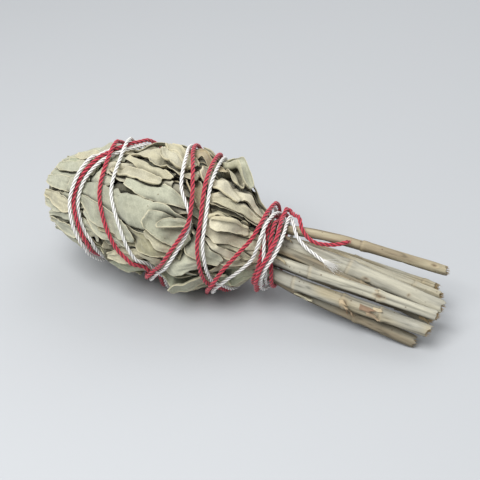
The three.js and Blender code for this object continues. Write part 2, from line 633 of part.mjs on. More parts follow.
// A scrap of leaf caught under the lower stems: its corners [station, sideways, up].
const SCRAP_CORNERS = [
  [[122.4, -12.6, -9.4], [126.8, -13.2, -9.9], [131, -13.4, -9.8]],
  [[122.8, -10.8, -10.3], [127, -10.8, -11.3], [130.6, -11.4, -10.6]],
];
const SCRAP_THICKNESS = 0.5;

function besideAxis([station, sideways, up]) {
  return new THREE.Vector3(
    AXIS_START.x + station * Math.cos(AXIS_FALL) + up * Math.sin(AXIS_FALL),
    AXIS_START.y + sideways,
    centreHeight(station) + up * Math.cos(AXIS_FALL),
  );
}

function twigGeometry(diameter, places) {
  const points = places.map(besideAxis);
  return tubeGeometry(points, diameter, TWIG_SIDES);
}

function scrapGeometry() {
  const upper = SCRAP_CORNERS.map((row) => row.map(besideAxis));
  const under = upper.map((row) => row.map((p) => p.clone().add(new THREE.Vector3(0, 0, -SCRAP_THICKNESS))));
  return plateGeometry(upper, under);
}

// ---------------------------------------------------------------- packed inner leaves
const PACKED_FROM = 9;
const PACKED_TO = 95;
const STEM_HOLE_CLEARANCE = 0.35;

function toManifold(geometry) {
  const bare = geometry.clone();
  bare.deleteAttribute('normal');
  bare.deleteAttribute('uv');
  const merged = BufferGeometryUtils.mergeVertices(bare, 1e-4);
  return new wasm.Manifold(new wasm.Mesh({
    numProp: 3,
    vertProperties: new Float32Array(merged.attributes.position.array),
    triVerts: new Uint32Array(merged.index.array),
  }));
}

function fromManifold(solid) {
  const mesh = solid.getMesh();
  const geometry = new THREE.BufferGeometry();
  geometry.setAttribute('position', new THREE.BufferAttribute(new Float32Array(mesh.vertProperties), 3));
  geometry.setIndex(new THREE.BufferAttribute(new Uint32Array(mesh.triVerts), 1));
  return geometry;
}

// What the outer leaves leave free in the middle, with a hole for each stem.
function packedLeavesGeometry() {
  const stations = [PACKED_FROM, PACKED_FROM + 1.5];
  for (let s = 12; s < PACKED_TO; s += 5.5) stations.push(s);
  stations.push(PACKED_TO);
  const sides = 26;
  const rings = stations.map((s) => Array.from({ length: sides }, (_, k) => {
    const angle = (k / sides) * 360;
    const free = room.lowest(s, angle, 6) - LEAF_GAP;
    const rounded = s === PACKED_FROM ? 0.8 : 1;
    return bundlePoint(s, angle, free * rounded);
  }));
  let solid = toManifold(loftGeometry(rings));
  for (const stem of STEMS) {
    const hole = stemGeometry(stem, STEM_HOLE_CLEARANCE, stemStart(stem) - 0.4, PACKED_TO + 3);
    solid = solid.subtract(toManifold(hole));
  }
  return fromManifold(solid);
}

const stemStart = (stem) => 42 + (stem[4] * 7) % 16;

// ---------------------------------------------------------------- assembly
const materials = {
  leaf: new THREE.MeshStandardMaterial({ color: 0xb4b39c, roughness: 0.92, metalness: 0 }),
  innerLeaf: new THREE.MeshStandardMaterial({ color: 0x8f8a6e, roughness: 0.95, metalness: 0 }),
  stem: new THREE.MeshStandardMaterial({ color: 0xb3ad97, roughness: 0.85, metalness: 0 }),
  red: new THREE.MeshStandardMaterial({ color: 0xa82a3c, roughness: 0.6, metalness: 0 }),
  white: new THREE.MeshStandardMaterial({ color: 0xeeece6, roughness: 0.65, metalness: 0 }),
};

const bundle = new THREE.Group();

function add(name, geometry, material) {
  const mesh = new THREE.Mesh(geometry, material);
  mesh.name = name;
  bundle.add(mesh);
}

for (const leaf of LEAVES) add(leaf[0], leafGeometry(leaf), materials.leaf);
add('packed_leaves', packedLeavesGeometry(), materials.innerLeaf);
for (const stem of STEMS) add(stem[0], stemGeometry(stem, 0, stemStart(stem), stem[4]), materials.stem);
for (const [name, diameter, places] of TWIGS) add(name, twigGeometry(diameter, places), materials.stem);
add('leaf_scrap', scrapGeometry(), materials.leaf);
add('red_cord', cordGeometry(redSamples, RED_DIAMETER), materials.red);
add('white_cord', cordGeometry(whiteSamples, WHITE_DIAMETER), materials.white);

export default bundle;
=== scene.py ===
import math

import bpy
import numpy as np
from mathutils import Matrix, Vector


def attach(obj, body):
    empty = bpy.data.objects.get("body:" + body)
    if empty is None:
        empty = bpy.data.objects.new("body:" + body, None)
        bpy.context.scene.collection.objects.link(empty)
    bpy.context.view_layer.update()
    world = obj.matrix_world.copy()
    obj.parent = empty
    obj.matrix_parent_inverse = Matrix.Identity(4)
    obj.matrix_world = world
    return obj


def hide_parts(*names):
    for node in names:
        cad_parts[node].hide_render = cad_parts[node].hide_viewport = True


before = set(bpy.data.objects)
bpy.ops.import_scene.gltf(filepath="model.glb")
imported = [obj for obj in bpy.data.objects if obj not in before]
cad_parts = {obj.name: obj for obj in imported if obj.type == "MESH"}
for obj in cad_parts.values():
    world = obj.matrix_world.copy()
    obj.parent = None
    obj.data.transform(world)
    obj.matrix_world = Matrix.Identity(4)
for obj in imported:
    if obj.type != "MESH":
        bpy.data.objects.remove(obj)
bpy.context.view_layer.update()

# ---------------------------------------------------------------- table, light and camera
# The bundle lies on a plain pale table. One broad soft lamp hangs above and in front of
# it, and the room's own light fills the shadows, as in a small studio.
TABLE_COLOUR = (0.47, 0.484, 0.5)
TABLE_SIZE = 8.0
AIM = Vector((0.00025, -0.00007, 0.0216))
CAMERA_AZIMUTH = math.radians(20)
CAMERA_ELEVATION = math.radians(36)
CAMERA_DISTANCE = 0.512
CAMERA_SHIFT = (-1 / 150, 0.024375)
LAMP_TARGET = Vector((0, 0, 0.02))
ROOM_COLOUR = (0.97, 0.985, 1, 1)
ROOM_STRENGTH = 0.55

stage = bpy.context.scene
stage.view_settings.view_transform = "Standard"

camera = bpy.data.objects.new("camera", bpy.data.cameras.new("camera"))
stage.collection.objects.link(camera)
camera.data.lens = 85
camera.data.sensor_width = 36
camera.data.shift_x, camera.data.shift_y = CAMERA_SHIFT
back = Vector((
    math.sin(CAMERA_AZIMUTH) * math.cos(CAMERA_ELEVATION),
    -math.cos(CAMERA_AZIMUTH) * math.cos(CAMERA_ELEVATION),
    math.sin(CAMERA_ELEVATION),
))
camera.location = AIM + back * CAMERA_DISTANCE
camera.rotation_euler = (-back).to_track_quat("-Z", "Y").to_euler()
stage.camera = camera


def hang_lamp(name, place, size, watts):
    """A square soft lamp at a place, turned towards the bundle."""
    lamp = bpy.data.objects.new(name, bpy.data.lights.new(name, "AREA"))
    stage.collection.objects.link(lamp)
    lamp.data.size = size
    lamp.data.energy = watts
    lamp.location = place
    lamp.rotation_euler = (LAMP_TARGET - Vector(place)).to_track_quat("-Z", "Y").to_euler()


hang_lamp("soft_box", (-0.12, -0.40, 0.74), 0.50, 7.4)
hang_lamp("back_fill", (0.10, 0.55, 0.60), 0.6, 1.6)

room_light = bpy.data.worlds.new("room_light")
stage.world = room_light
room_light.use_nodes = True
room_light.node_tree.nodes["Background"].inputs["Color"].default_value = ROOM_COLOUR
room_light.node_tree.nodes["Background"].inputs["Strength"].default_value = ROOM_STRENGTH


def add_node(tree, kind, inputs=(), **settings):
    """Adds a node with its settings. Its inputs, by name or number, take values or the
    outputs of other nodes."""
    node = tree.nodes.new(kind)
    for key, value in settings.items():
        setattr(node, key, value)
    for key, value in dict(inputs).items():
        if isinstance(value, bpy.types.NodeSocket):
            tree.links.new(value, node.inputs[key])
        else:
            node.inputs[key].default_value = value
    return node


def noise(tree, where, scale, detail, roughness=0.5):
    """A cloudy pattern at these places."""
    inputs = {"Vector": where, "Scale": scale, "Detail": detail, "Roughness": roughness}
    return add_node(tree, "ShaderNodeTexNoise", inputs).outputs["Fac"]


def make_finish(name, roughness, specular=0.5, sheen=0.0):
    """A new surface finish and its node tree."""
    finish = bpy.data.materials.new(name)
    finish.use_nodes = True
    shader = finish.node_tree.nodes["Principled BSDF"]
    for socket, value in (("Roughness", roughness), ("Specular IOR Level", specular),
                          ("Sheen Weight", sheen), ("Sheen Roughness", 0.6)):
        shader.inputs[socket].default_value = value
    return finish, finish.node_tree


def coat(tree, colour, height=None, strength=0.0, distance=0.0):
    """Gives a finish its colour, plain or patterned, and its fine relief, in metres."""
    shader = tree.nodes["Principled BSDF"]
    if isinstance(colour, bpy.types.NodeSocket):
        tree.links.new(colour, shader.inputs["Base Color"])
    else:
        shader.inputs["Base Color"].default_value = (*colour, 1)
    if height is not None:
        relief = {"Height": height, "Strength": strength, "Distance": distance}
        bump = add_node(tree, "ShaderNodeBump", relief)
        tree.links.new(bump.outputs["Normal"], shader.inputs["Normal"])


table_finish, tree = make_finish("table_finish", 0.85, 0.2)
grain = noise(tree, add_node(tree, "ShaderNodeTexCoord").outputs["Object"], 900, 3)
coat(tree, TABLE_COLOUR, grain, 0.05, 0.0002)

reach = TABLE_SIZE / 2
table_mesh = bpy.data.meshes.new("table")
table_mesh.from_pydata([(-reach, -reach, 0), (reach, -reach, 0), (reach, reach, 0), (-reach, reach, 0)],
                       [], [(0, 1, 2, 3)])
table = bpy.data.objects.new("table", table_mesh)
stage.collection.objects.link(table)
table_mesh.materials.append(table_finish)

# ---------------------------------------------------------------- red cord and white cord
# Two cotton cords of three plies each, tied in at the neck, wound together over the
# leaves and back, then several times round the neck. Both end in a loose tail: the red
# one is cut clean, and the white one has come undone into a soft tuft.
RED_DIAMETER = 1.9
WHITE_DIAMETER = 1.6
AXIS_START = np.array([-91.75, -0.08, 38.6])
AXIS_FALL = math.radians(7.1)
# Station along the bundle's axis, radius of the outline, and how far its centre stands
# above the axis there, all in millimetres.
OUTLINE = np.array([
    (-8, 6, -2.5), (0, 11.5, -2.5), (8, 17.6, -1.4), (20, 24.2, 0), (35, 28.2, 0.8),
    (50, 31.4, 1.5), (65, 33, 1.9), (78, 30.5, 0.8), (90, 24.8, 0.2), (100, 18, 0),
    (107, 14.9, 0), (116, 14.8, 0), (190, 17.4, 0)], float)


def along(table, station, column):
    """A smooth curve through one column of a table, at these stations."""
    station = np.asarray(station, float)
    last = len(table) - 1
    row = np.searchsorted(table[1:-1, 0], station, side="left")
    span = table[row + 1, 0] - table[row, 0]
    t = np.clip((station - table[row, 0]) / span, 0, 1)

    def slope(i):
        before, after = np.maximum(i - 1, 0), np.minimum(i + 1, last)
        return (table[after, column] - table[before, column]) / (table[after, 0] - table[before, 0])

    rise = table[row + 1, column] - table[row, column]
    a = slope(row) * span - rise
    b = -slope(row + 1) * span + rise
    return table[row, column] + t * rise + t * (1 - t) * ((1 - t) * a + t * b)


def outline_radius(station):
    """How thick the bundle is at a station, from its axis."""
    return along(OUTLINE, station, 1)


def centre_height(station):
    """How high its middle lies above the table there."""
    return AXIS_START[2] + along(OUTLINE, station, 2) - np.asarray(station) * math.sin(AXIS_FALL)


# By station: the share of its radius by which the lower front is flattened, at most.
FLATTENED = np.array([(0, 0), (30, 0.02), (50, 0.07), (88, 0.08), (98, 0.04), (105, 0), (190, 0)])
FLATTENED_ANGLE = -44
FLATTENED_REACH = 36


def outline_at(station, angle):
    """The outline's radius at a station and an angle round it."""
    turn = (np.asarray(angle) - FLATTENED_ANGLE + 180) % 360 - 180
    away = np.minimum(np.abs(turn) / FLATTENED_REACH, 1)
    return outline_radius(station) * (1 - along(FLATTENED, station, 1) * np.cos(0.5 * np.pi * away) ** 2)


def bundle_point(station, angle, radius):
    """The place at a station along the bundle, an angle round it in degrees (0 towards
    -Y, 90 on top) and a distance from its axis."""
    a = np.radians(angle)
    up = radius * np.sin(a)
    return np.stack(np.broadcast_arrays(
        AXIS_START[0] + station * math.cos(AXIS_FALL) + up * math.sin(AXIS_FALL),
        AXIS_START[1] - radius * np.cos(a),
        centre_height(station) + up * math.cos(AXIS_FALL)), axis=-1)


def table_radius(station, angle, under):
    """The radius at which something with this much under it would touch the table."""
    down = -np.sin(np.radians(angle)) * math.cos(AXIS_FALL)
    return np.where(down > 0.05, (centre_height(station) - under) / np.maximum(down, 0.05), np.inf)


# A stretch's layer, then its points: station, angle and, once the cord is loose, radius.
RED_ROUTE = [
    (1, [(99.5, 135), (97, 190), (94.5, 245), (90.5, 295), (86.5, 334), (84.5, 347),
        (82.5, 367), (80, 385), (78.5, 404), (76.5, 420), (75, 433), (73.5, 453), (72, 475),
        (70, 500), (66, 525), (62.5, 560), (61.4, 605), (61.7, 645), (61.3, 672)]),
    (3, [(59.5, 694), (52, 706), (45.5, 716), (39, 732), (34, 748), (31, 762),
        (29, 781), (27.5, 806), (26, 832), (26, 865)]),
    (2, [(27, 915), (29, 970), (30, 1025), (29.5, 1058), (25, 1077), (21.5, 1092),
        (18.7, 1108), (18.5, 1126), (20, 1143), (23.2, 1158), (27.2, 1172), (31.2, 1185), (36.2, 1205),
        (42.4, 1245), (47.3, 1300), (50.5, 1340), (53.3, 1375)]),
    (4, [(56.6, 1397), (60, 1415), (66, 1434), (70.5, 1453), (73.5, 1468),
        (74.6, 1480), (72.7, 1496), (68.5, 1516), (62.5, 1542), (60.5, 1570), (66.5, 1605), (72, 1640),
        (78, 1690), (83, 1740)]),
    (5, [(86.3, 1770), (89.6, 1789), (92.7, 1805), (95.1, 1816), (97.4, 1829)]),
    (7, [(99.6, 1845), (101, 1864), (101.4, 1880), (101.5, 1897), (101.8, 1916),
        (102.2, 1935), (102.6, 1962), (102.8, 1985), (102.9, 2015), (102.6, 2050)]),
    (5, [(102.8, 2090), (103.2, 2125),
        (103.9, 2143), (104.7, 2155), (105, 2175), (105, 2194), (104.9, 2210), (104.6, 2223),
        (103.9, 2237), (103.4, 2252), (103.5, 2270)]),
    (6, [(104.6, 2297), (107, 2332), (109.4, 2372), (111, 2412), (111.8, 2452),
        (111.6, 2486), (111, 2517), (109.9, 2535), (108.4, 2556), (107.2, 2575), (106.5, 2591),
        (105.9, 2611), (106.6, 2633)]),
    (7, [(107.6, 2665), (107.6, 2700), (106.8, 2745), (105.9, 2790), (105.6, 2822)]),
    (8, [(105.8, 2848), (106.2, 2868), (106.8, 2881), (107.6, 2895), (108.8, 2908),
        (109.6, 2921), (109.8, 2935), (109.3, 2951), (108.6, 2967), (107.9, 2985), (107.6, 2999),
        (108.1, 3009, 14.9), (109.5, 3009, 15), (112, 2998, 16.2), (114.6, 2989, 16.6),
        (117.8, 2978, 15), (121.2, 2972, 13.2), (124.2, 2971, 12), (127.2, 2974, 11.4),
        (131.2, 2983, 11.4), (134.5, 2985, 12.6), (137, 2985, 14.2), (139.2, 2987, 15.6)]),
]
WHITE_ROUTE = [
    (1, [(102, 135), (99.5, 190), (97, 245), (93.5, 292), (88.5, 330), (86.8, 347),
        (84.4, 370), (82, 387), (80.6, 404), (78.7, 421), (77.2, 434), (75.8, 454), (74.5, 475),
        (72.5, 500), (68.7, 527), (65.3, 562), (64, 607), (64.2, 645), (63.6, 670)]),
    (3, [(61.5, 690), (57.5, 704), (52, 718), (46.5, 734), (41, 749), (37, 762),
        (35.2, 775), (33.6, 794), (31.8, 815), (30.6, 838), (31, 865)]),
    (2, [(33, 915), (35, 970), (34, 1025), (31, 1060), (26.5, 1074), (22.8, 1090),
        (20.6, 1107), (20.5, 1127), (22.4, 1144), (25.9, 1159), (29.9, 1173), (34.2, 1190),
        (38.6, 1222)]),
    (3, [(39.6, 1270), (36, 1330), (31, 1385), (27, 1420)]),
    (3, [(22.9, 1437), (19.9, 1452), (17.9, 1466),
        (17.5, 1484), (18.4, 1502)]),
    (2, [(20.9, 1520), (24.4, 1536), (28.4, 1550), (33.4, 1568)]),
    (4, [(40.4, 1605), (49.6, 1660), (52.9, 1700), (55.8, 1735),
        (59, 1757), (62.2, 1774), (67.8, 1791), (72.4, 1812), (74.8, 1830),
        (74.2, 1842), (70.9, 1851), (67, 1860), (64.6, 1872), (62, 1890), (59, 1912), (58.4, 1938),
        (66, 1962), (74.4, 2000), (80.6, 2050), (85.4, 2092)]),
    (5, [(88.4, 2129), (92.6, 2142), (96.1, 2151), (99.5, 2162)]),
    (7, [(102, 2177), (103.2, 2197), (103.4, 2210), (103.5, 2226), (103.7, 2242),
        (104.1, 2258), (104.6, 2275), (105.6, 2305), (106.2, 2328), (106.8, 2352),
        (107.4, 2385)]),
    (5, [(108.5, 2420), (108.5, 2460)]),
    (6, [(108.6, 2490), (108.8, 2506), (108.2, 2522), (107.2, 2537), (106, 2556),
        (104.7, 2571), (103, 2585), (101.9, 2598), (101.2, 2612), (101, 2632), (101.6, 2668),
        (103.2, 2705), (104.6, 2748), (105.8, 2790), (106.7, 2825)]),
    (7, [(107, 2846), (107.1, 2870), (107.8, 2895), (109.2, 2910), (110.2, 2921),
        (110, 2932), (109, 2948), (108.1, 2970), (108.6, 2990), (110, 3022), (111.2, 3062),
        (111, 3105), (109.6, 3155)]),
    (8, [(107.5, 3200), (107.6, 3215), (107.9, 3229), (108.6, 3243), (109.5, 3255),
        (110.9, 3267), (111.6, 3279), (111.9, 3292), (111.7, 3306), (111.2, 3321), (110.4, 3338),
        (110.2, 3350, 17), (111, 3356, 17.2), (112.3, 3351, 16.7), (113.7, 3343, 15.8),
        (115.1, 3334, 14.4),
        (117.2, 3324, 13.2), (119.8, 3317, 11.8), (123.2, 3309, 10.6), (126.2, 3305, 9.7),
        (129.2, 3299, 9), (132, 3295, 8.7)]),
]
ROUTE_STEP = 1.25         # from one sample of a cord to the next
OWN_REACH = 10            # a cord does not cross itself any nearer along it than this
CORD_CLEARANCE = 0.4      # between two cords, one laid over the other
EASE_CLEARANCE = 0.2      # the least that is kept of it
EASE_PASSES = 12
HUMP_REACH = 7            # how far on either side of a crossing the upper cord is lifted
SINK_REACH = 14           # and how far the leaves give way under it
# By station: the share of a crossing's rise that the cords press into the leaves.
SINK_SHARE = np.array([
    (0, 0.6), (36, 0.6), (52, 1), (72, 1), (88, 0.6), (96, 0.5), (104, 0.3), (190, 0.3)])


def catmull(knots, places):
    """A smooth line through all knots, at these places counted in knots."""
    knots = np.vstack([2 * knots[0] - knots[1], knots, 2 * knots[-1] - knots[-2]])
    k = np.minimum(np.floor(places).astype(int), len(knots) - 4)
    t = (places - k)[:, None]
    a, b, c, d = (knots[k + i] for i in range(4))
    return 0.5 * (2 * b + (c - a) * t + (2 * a - 5 * b + 4 * c - d) * t ** 2
                  + (3 * b - a - 3 * c + d) * t ** 3)


def sample_route(route, diameter):
    """Evenly spaced samples of a route: station, angle, radius, layer."""
    rows = [(layer, *point) for layer, points in route for point in points]
    layers = np.array([row[0] for row in rows])
    knots = np.array([(row[1], row[2], row[3] if len(row) > 3 else 0) for row in rows], float)
    loose = np.array([len(row) > 3 for row in rows])
    spans = len(rows) - 1
    places = np.arange(spans * 40 + 1) / 40
    station, angle, free = catmull(knots, places).T
    hold = np.minimum(outline_at(station, angle) + diameter / 2,
                      table_radius(station, angle, diameter / 2 + 0.1))
    k = np.minimum(places.astype(int), spans - 1)
    f = places - k
    leaving = hold + (knots[k + 1, 2] - hold) * f * f * (3 - 2 * f)
    radius = np.where(loose[k] & loose[k + 1], free, np.where(loose[k + 1], leaving, hold))
    layer = layers[np.where(f < 0.5, k, k + 1)]
    gone = np.linalg.norm(np.diff(bundle_point(station, angle, radius), axis=0), axis=1).cumsum()
    picked = [0]
    for i, length in enumerate(gone, 1):
        if length >= ROUTE_STEP * len(picked):
            picked.append(i)
    return {"station": station[picked], "angle": angle[picked], "radius": radius[picked],
            "layer": layer[picked], "lift": np.zeros(len(picked)), "diameter": diameter}


def hump(distance, reach=HUMP_REACH):
    """The share of a lift that is left at a distance from it."""
    t = np.clip((distance / reach - 0.15) / 0.85, 0, 1)
    return np.where(distance < reach, 0.5 + 0.5 * np.cos(np.pi * t), 0)


def apart_on_surface(cord, these, other, those):
    """Distances between two sets of samples on the bundle's unrolled surface."""
    turn = np.radians((other["angle"][those][None] - cord["angle"][these][:, None]) % 360)
    turn = np.minimum(turn, 2 * np.pi - turn)
    mean = 0.5 * (other["radius"][those][None] + cord["radius"][these][:, None])
    return np.hypot(other["station"][those][None] - cord["station"][these][:, None], turn * mean)


def lay_cords(cords):
    """Lifts each later stretch over the earlier ones that it crosses, layer by layer."""
    laid = []
    for layer in sorted({int(n) for cord in cords for n in cord["layer"]}):
        for which, cord in enumerate(cords):
            here = np.flatnonzero(cord["layer"] == layer)
            if not len(here):
                continue
            need = np.zeros(len(here))
            for other_which, there in laid:
                other = cords[other_which]
                apart = (other["diameter"] + cord["diameter"]) / 2 + CORD_CLEARANCE
                far = apart_on_surface(cord, here, other, there)
                top = (other["radius"] + other["lift"])[there][None] - cord["radius"][here][:, None]
                over = np.where(far < apart, top + np.sqrt(np.maximum(apart ** 2 - far ** 2, 0)), 0)
                if other is cord:
                    over[np.abs(here[:, None] - there[None]) * ROUTE_STEP < OWN_REACH] = 0
                need = np.maximum(need, over.max(axis=1))
            distance = np.abs(here[:, None] - here[None]) * ROUTE_STEP
            lifted = (need[None] * hump(distance)).max(axis=1)
            cord["lift"][here] = np.maximum(cord["lift"][here], lifted)
            laid.append((which, here))
    for cord in cords:
        index = np.arange(len(cord["lift"]))
        distance = np.abs(index[:, None] - index[None]) * ROUTE_STEP
        cord["lift"] = np.maximum(cord["lift"], (cord["lift"][None] * hump(distance)).max(axis=1))
    sinks = []
    for cord in cords:
        rise = [(other["lift"][None] * hump(apart_on_surface(cord, slice(None), other, slice(None)),
                                            SINK_REACH)).max(axis=1) for other in cords]
        sinks.append(np.maximum(*rise) * along(SINK_SHARE, cord["station"], 1))
    for cord, sink in zip(cords, sinks):
        cord["lift"] = cord["lift"] - sink


def ease_apart(cords):
    """Wherever two strands still touch, the outer one is eased outwards."""
    pairs = []
    for a, b in ((0, 0), (0, 1), (1, 1)):
        far = apart_on_surface(cords[a], slice(None), cords[b], slice(None))
        apart = (cords[a]["diameter"] + cords[b]["diameter"]) / 2 + EASE_CLEARANCE
        close = far < apart
        if a == b:
            index = np.arange(len(far))
            close &= (index[None] - index[:, None]) * ROUTE_STEP >= OWN_REACH
        i, j = np.nonzero(close)
        pairs.append((a, b, i, j, np.sqrt(apart ** 2 - far[i, j] ** 2)))
    for _ in range(EASE_PASSES):
        push = [np.zeros(len(cord["lift"])) for cord in cords]
        for a, b, i, j, need in pairs:
            rise = (cords[a]["radius"] + cords[a]["lift"])[i] - (cords[b]["radius"] + cords[b]["lift"])[j]
            short = 0.7 * (need - np.abs(rise))
            np.maximum.at(push[a], i[rise > 0], short[rise > 0])
            np.maximum.at(push[b], j[rise <= 0], short[rise <= 0])
        for cord, pushed in zip(cords, push):
            padded = np.pad(pushed, 5)
            near = [padded[5 + k:5 + k + len(pushed)] * hump(abs(k) * ROUTE_STEP) for k in range(-5, 6)]
            cord["lift"] = cord["lift"] + np.max(near, axis=0)


white_route = sample_route(WHITE_ROUTE, WHITE_DIAMETER)
red_route = sample_route(RED_ROUTE, RED_DIAMETER)
lay_cords([white_route, red_route])
ease_apart([white_route, red_route])


def smooth_path(route, spacing):
    """The cord's centreline in metres, with points this many millimetres apart."""
    knots = bundle_point(route["station"], route["angle"], route["radius"] + route["lift"])
    fine = catmull(knots, np.linspace(0, len(knots) - 1, 4 * len(knots)))
    gone = np.r_[0, np.linalg.norm(np.diff(fine, axis=0), axis=1).cumsum()]
    wanted = np.linspace(0, gone[-1], int(gone[-1] / spacing) + 1)
    return np.stack([np.interp(wanted, gone, fine[:, i]) for i in range(3)], axis=1) / 1000


def maths(tree, operation, a, b=0.0):
    """A sum of two values, or a function of the first."""
    return add_node(tree, "ShaderNodeMath", {0: a, 1: b}, operation=operation).outputs[0]


def vector_maths(tree, operation, a, b):
    """A sum of two vectors, their distance, or a vector scaled by a value."""
    second = "Scale" if operation == "SCALE" else 1
    output = "Value" if operation == "DISTANCE" else "Vector"
    return add_node(tree, "ShaderNodeVectorMath", {0: a, second: b}, operation=operation).outputs[output]


PLY_SIDES = 7


def twisted_cord_tree():
    """Geometry nodes that lay plies round a curve: each ply is a copy of the curve moved
    round it in a helix, then given its own round section."""
    tree = bpy.data.node_groups.new("twisted_cord", "GeometryNodeTree")
    sockets = {}
    for name, kind in (("Geometry", "Geometry"), ("Plies", "Int"), ("Ply radius", "Float"),
                       ("Helix radius", "Float"), ("Lay length", "Float"), ("Finish", "Material")):
        made = tree.interface.new_socket(name, in_out="INPUT", socket_type="NodeSocket" + kind)
        sockets[name] = made.identifier
    tree.interface.new_socket("Geometry", in_out="OUTPUT", socket_type="NodeSocketGeometry")

    def store(geometry, name, value, kind="FLOAT"):
        inputs = {"Geometry": geometry, "Name": name, "Value": value}
        node = add_node(tree, "GeometryNodeStoreNamedAttribute", inputs, data_type=kind, domain="POINT")
        return node.outputs[0]

    given = add_node(tree, "NodeGroupInput").outputs
    here = add_node(tree, "GeometryNodeInputPosition").outputs[0]
    walked = add_node(tree, "GeometryNodeSplineParameter").outputs
    tangent = add_node(tree, "GeometryNodeInputTangent").outputs[0]
    normal = add_node(tree, "GeometryNodeInputNormal").outputs[0]

    # One copy of the line for each ply, moved round it.
    copies = add_node(tree, "GeometryNodeDuplicateElements",
                      {"Geometry": given["Geometry"], "Amount": given["Plies"]}, domain="SPLINE").outputs
    turns = maths(tree, "DIVIDE", walked["Length"], given["Lay length"])
    share = maths(tree, "DIVIDE", copies["Duplicate Index"], given["Plies"])
    turn = maths(tree, "MULTIPLY", maths(tree, "ADD", turns, share), 2 * math.pi)
    out = vector_maths(tree, "SCALE", normal, maths(tree, "COSINE", turn))
    side = vector_maths(tree, "CROSS_PRODUCT", tangent, normal)
    aside = vector_maths(tree, "SCALE", side, maths(tree, "SINE", turn))
    offset = vector_maths(tree, "SCALE", vector_maths(tree, "ADD", out, aside), given["Helix radius"])
    line = store(copies["Geometry"], "core", here, "FLOAT_VECTOR")
    line = add_node(tree, "GeometryNodeSetPosition", {"Geometry": line, "Offset": offset}).outputs[0]
    line = store(line, "fibre_run", turns)

    # Each ply's skin, which remembers how far it stands from the cord's own line.
    section = add_node(tree, "GeometryNodeCurvePrimitiveCircle",
                       {"Resolution": PLY_SIDES, "Radius": given["Ply radius"]}).outputs[0]
    section = store(section, "fibre_round", walked["Factor"])
    skin = add_node(tree, "GeometryNodeCurveToMesh",
                    {"Curve": line, "Profile Curve": section, "Fill Caps": True}).outputs[0]
    own = add_node(tree, "GeometryNodeInputNamedAttribute", {"Name": "core"}, data_type="FLOAT_VECTOR")
    core = own.outputs["Attribute"]
    skin = store(skin, "depth", vector_maths(tree, "DISTANCE", here, core))
    smooth = add_node(tree, "GeometryNodeSetShadeSmooth", {0: skin}).outputs[0]
    real = add_node(tree, "GeometryNodeRealizeInstances", {0: smooth}).outputs[0]
    dressed = {"Geometry": real, "Material": given["Finish"]}
    painted = add_node(tree, "GeometryNodeSetMaterial", dressed).outputs[0]
    add_node(tree, "NodeGroupOutput", {0: painted})
    return tree, sockets


def stored(tree, name, output="Fac"):
    """What a piece's own attribute says."""
    return add_node(tree, "ShaderNodeAttribute", attribute_name=name).outputs[output]


def ramp(tree, source, low, high, to_low, to_high):
    """Takes a value from one range to another, and holds it at the ends."""
    inputs = {"Value": source, "From Min": low, "From Max": high, "To Min": to_low, "To Max": to_high}
    return add_node(tree, "ShaderNodeMapRange", inputs).outputs[0]


def blend(tree, how, amount, below, above):
    """Two colours mixed or multiplied."""
    return add_node(tree, "ShaderNodeMix", {0: amount, 6: below, 7: above},
                    data_type="RGBA", blend_type=how).outputs[2]


def cotton_finish(name, colour, dark, roughness, radius, groove):
    """Twisted cotton: fine fibres run round each ply, and the grooves between are darkened with painted
    shade.
    """
    finish, tree = make_finish(name, roughness, 0.35, 0.25)
    where = add_node(tree, "ShaderNodeTexCoord").outputs
    fleck = ramp(tree, noise(tree, where["Object"], 2200, 4, 0.6), 0.35, 0.62, 0.0, 1.0)
    # Painted shade: darker towards the cord's own line, in the grooves between the plies; groove is how
    # dark it gets.
    shade = ramp(tree, stored(tree, "depth"), 0.70 * radius, 0.98 * radius, groove, 1.0)
    mixed = blend(tree, "MIX", fleck, (*dark, 1), (*colour, 1))
    strands = maths(tree, "ADD", maths(tree, "MULTIPLY", stored(tree, "fibre_run"), 7.0),
                    maths(tree, "MULTIPLY", stored(tree, "fibre_round"), 5.0))
    wave = maths(tree, "SINE", maths(tree, "MULTIPLY", strands, 2 * math.pi))
    coat(tree, vector_maths(tree, "SCALE", mixed, shade), wave, 0.5, 0.00005)
    return finish


PATH_SPACING = 0.45       # between the points of a cord's own line
PLIES = 3
PLY_SHARE = 0.47          # a ply's radius, as a share of the cord's
HELIX_SHARE = 0.55        # how far out each ply's own line runs, as a share of the same
LAY_LENGTH = 0.0076       # the run of one full turn of the plies

cord_tree, cord_sockets = twisted_cord_tree()
red_cotton = cotton_finish("red_cotton", (0.59, 0.027, 0.060), (0.46, 0.016, 0.038), 0.55, 0.00095, 0.25)
white_cotton = cotton_finish("white_cotton", (0.93, 0.92, 0.89), (0.86, 0.84, 0.80), 0.6, 0.0008, 0.50)


def make_cord(name, route, finish):
    """Lays the plies along a route and turns them into one plain mesh."""
    path = smooth_path(route, PATH_SPACING)
    curve = bpy.data.curves.new(name + "_line", "CURVE")
    curve.dimensions = "3D"
    spline = curve.splines.new("POLY")
    spline.points.add(len(path) - 1)
    spline.points.foreach_set("co", np.c_[path, np.ones(len(path))].ravel())
    line = bpy.data.objects.new(name + "_line", curve)
    stage.collection.objects.link(line)
    twist = line.modifiers.new("twist", "NODES")
    twist.node_group = cord_tree
    radius = route["diameter"] / 2000
    for key, value in (("Plies", PLIES), ("Ply radius", radius * PLY_SHARE),
                       ("Helix radius", radius * HELIX_SHARE), ("Lay length", LAY_LENGTH),
                       ("Finish", finish)):
        twist[cord_sockets[key]] = value
    ready = line.evaluated_get(bpy.context.evaluated_depsgraph_get())
    piece = bpy.data.objects.new(name, bpy.data.meshes.new_from_object(ready))
    stage.collection.objects.link(piece)
    bpy.data.objects.remove(line)
    return piece, path


red_cord, red_path = make_cord("red_cord_plies", red_route, red_cotton)
white_cord, white_path = make_cord("white_cord_plies", white_route, white_cotton)


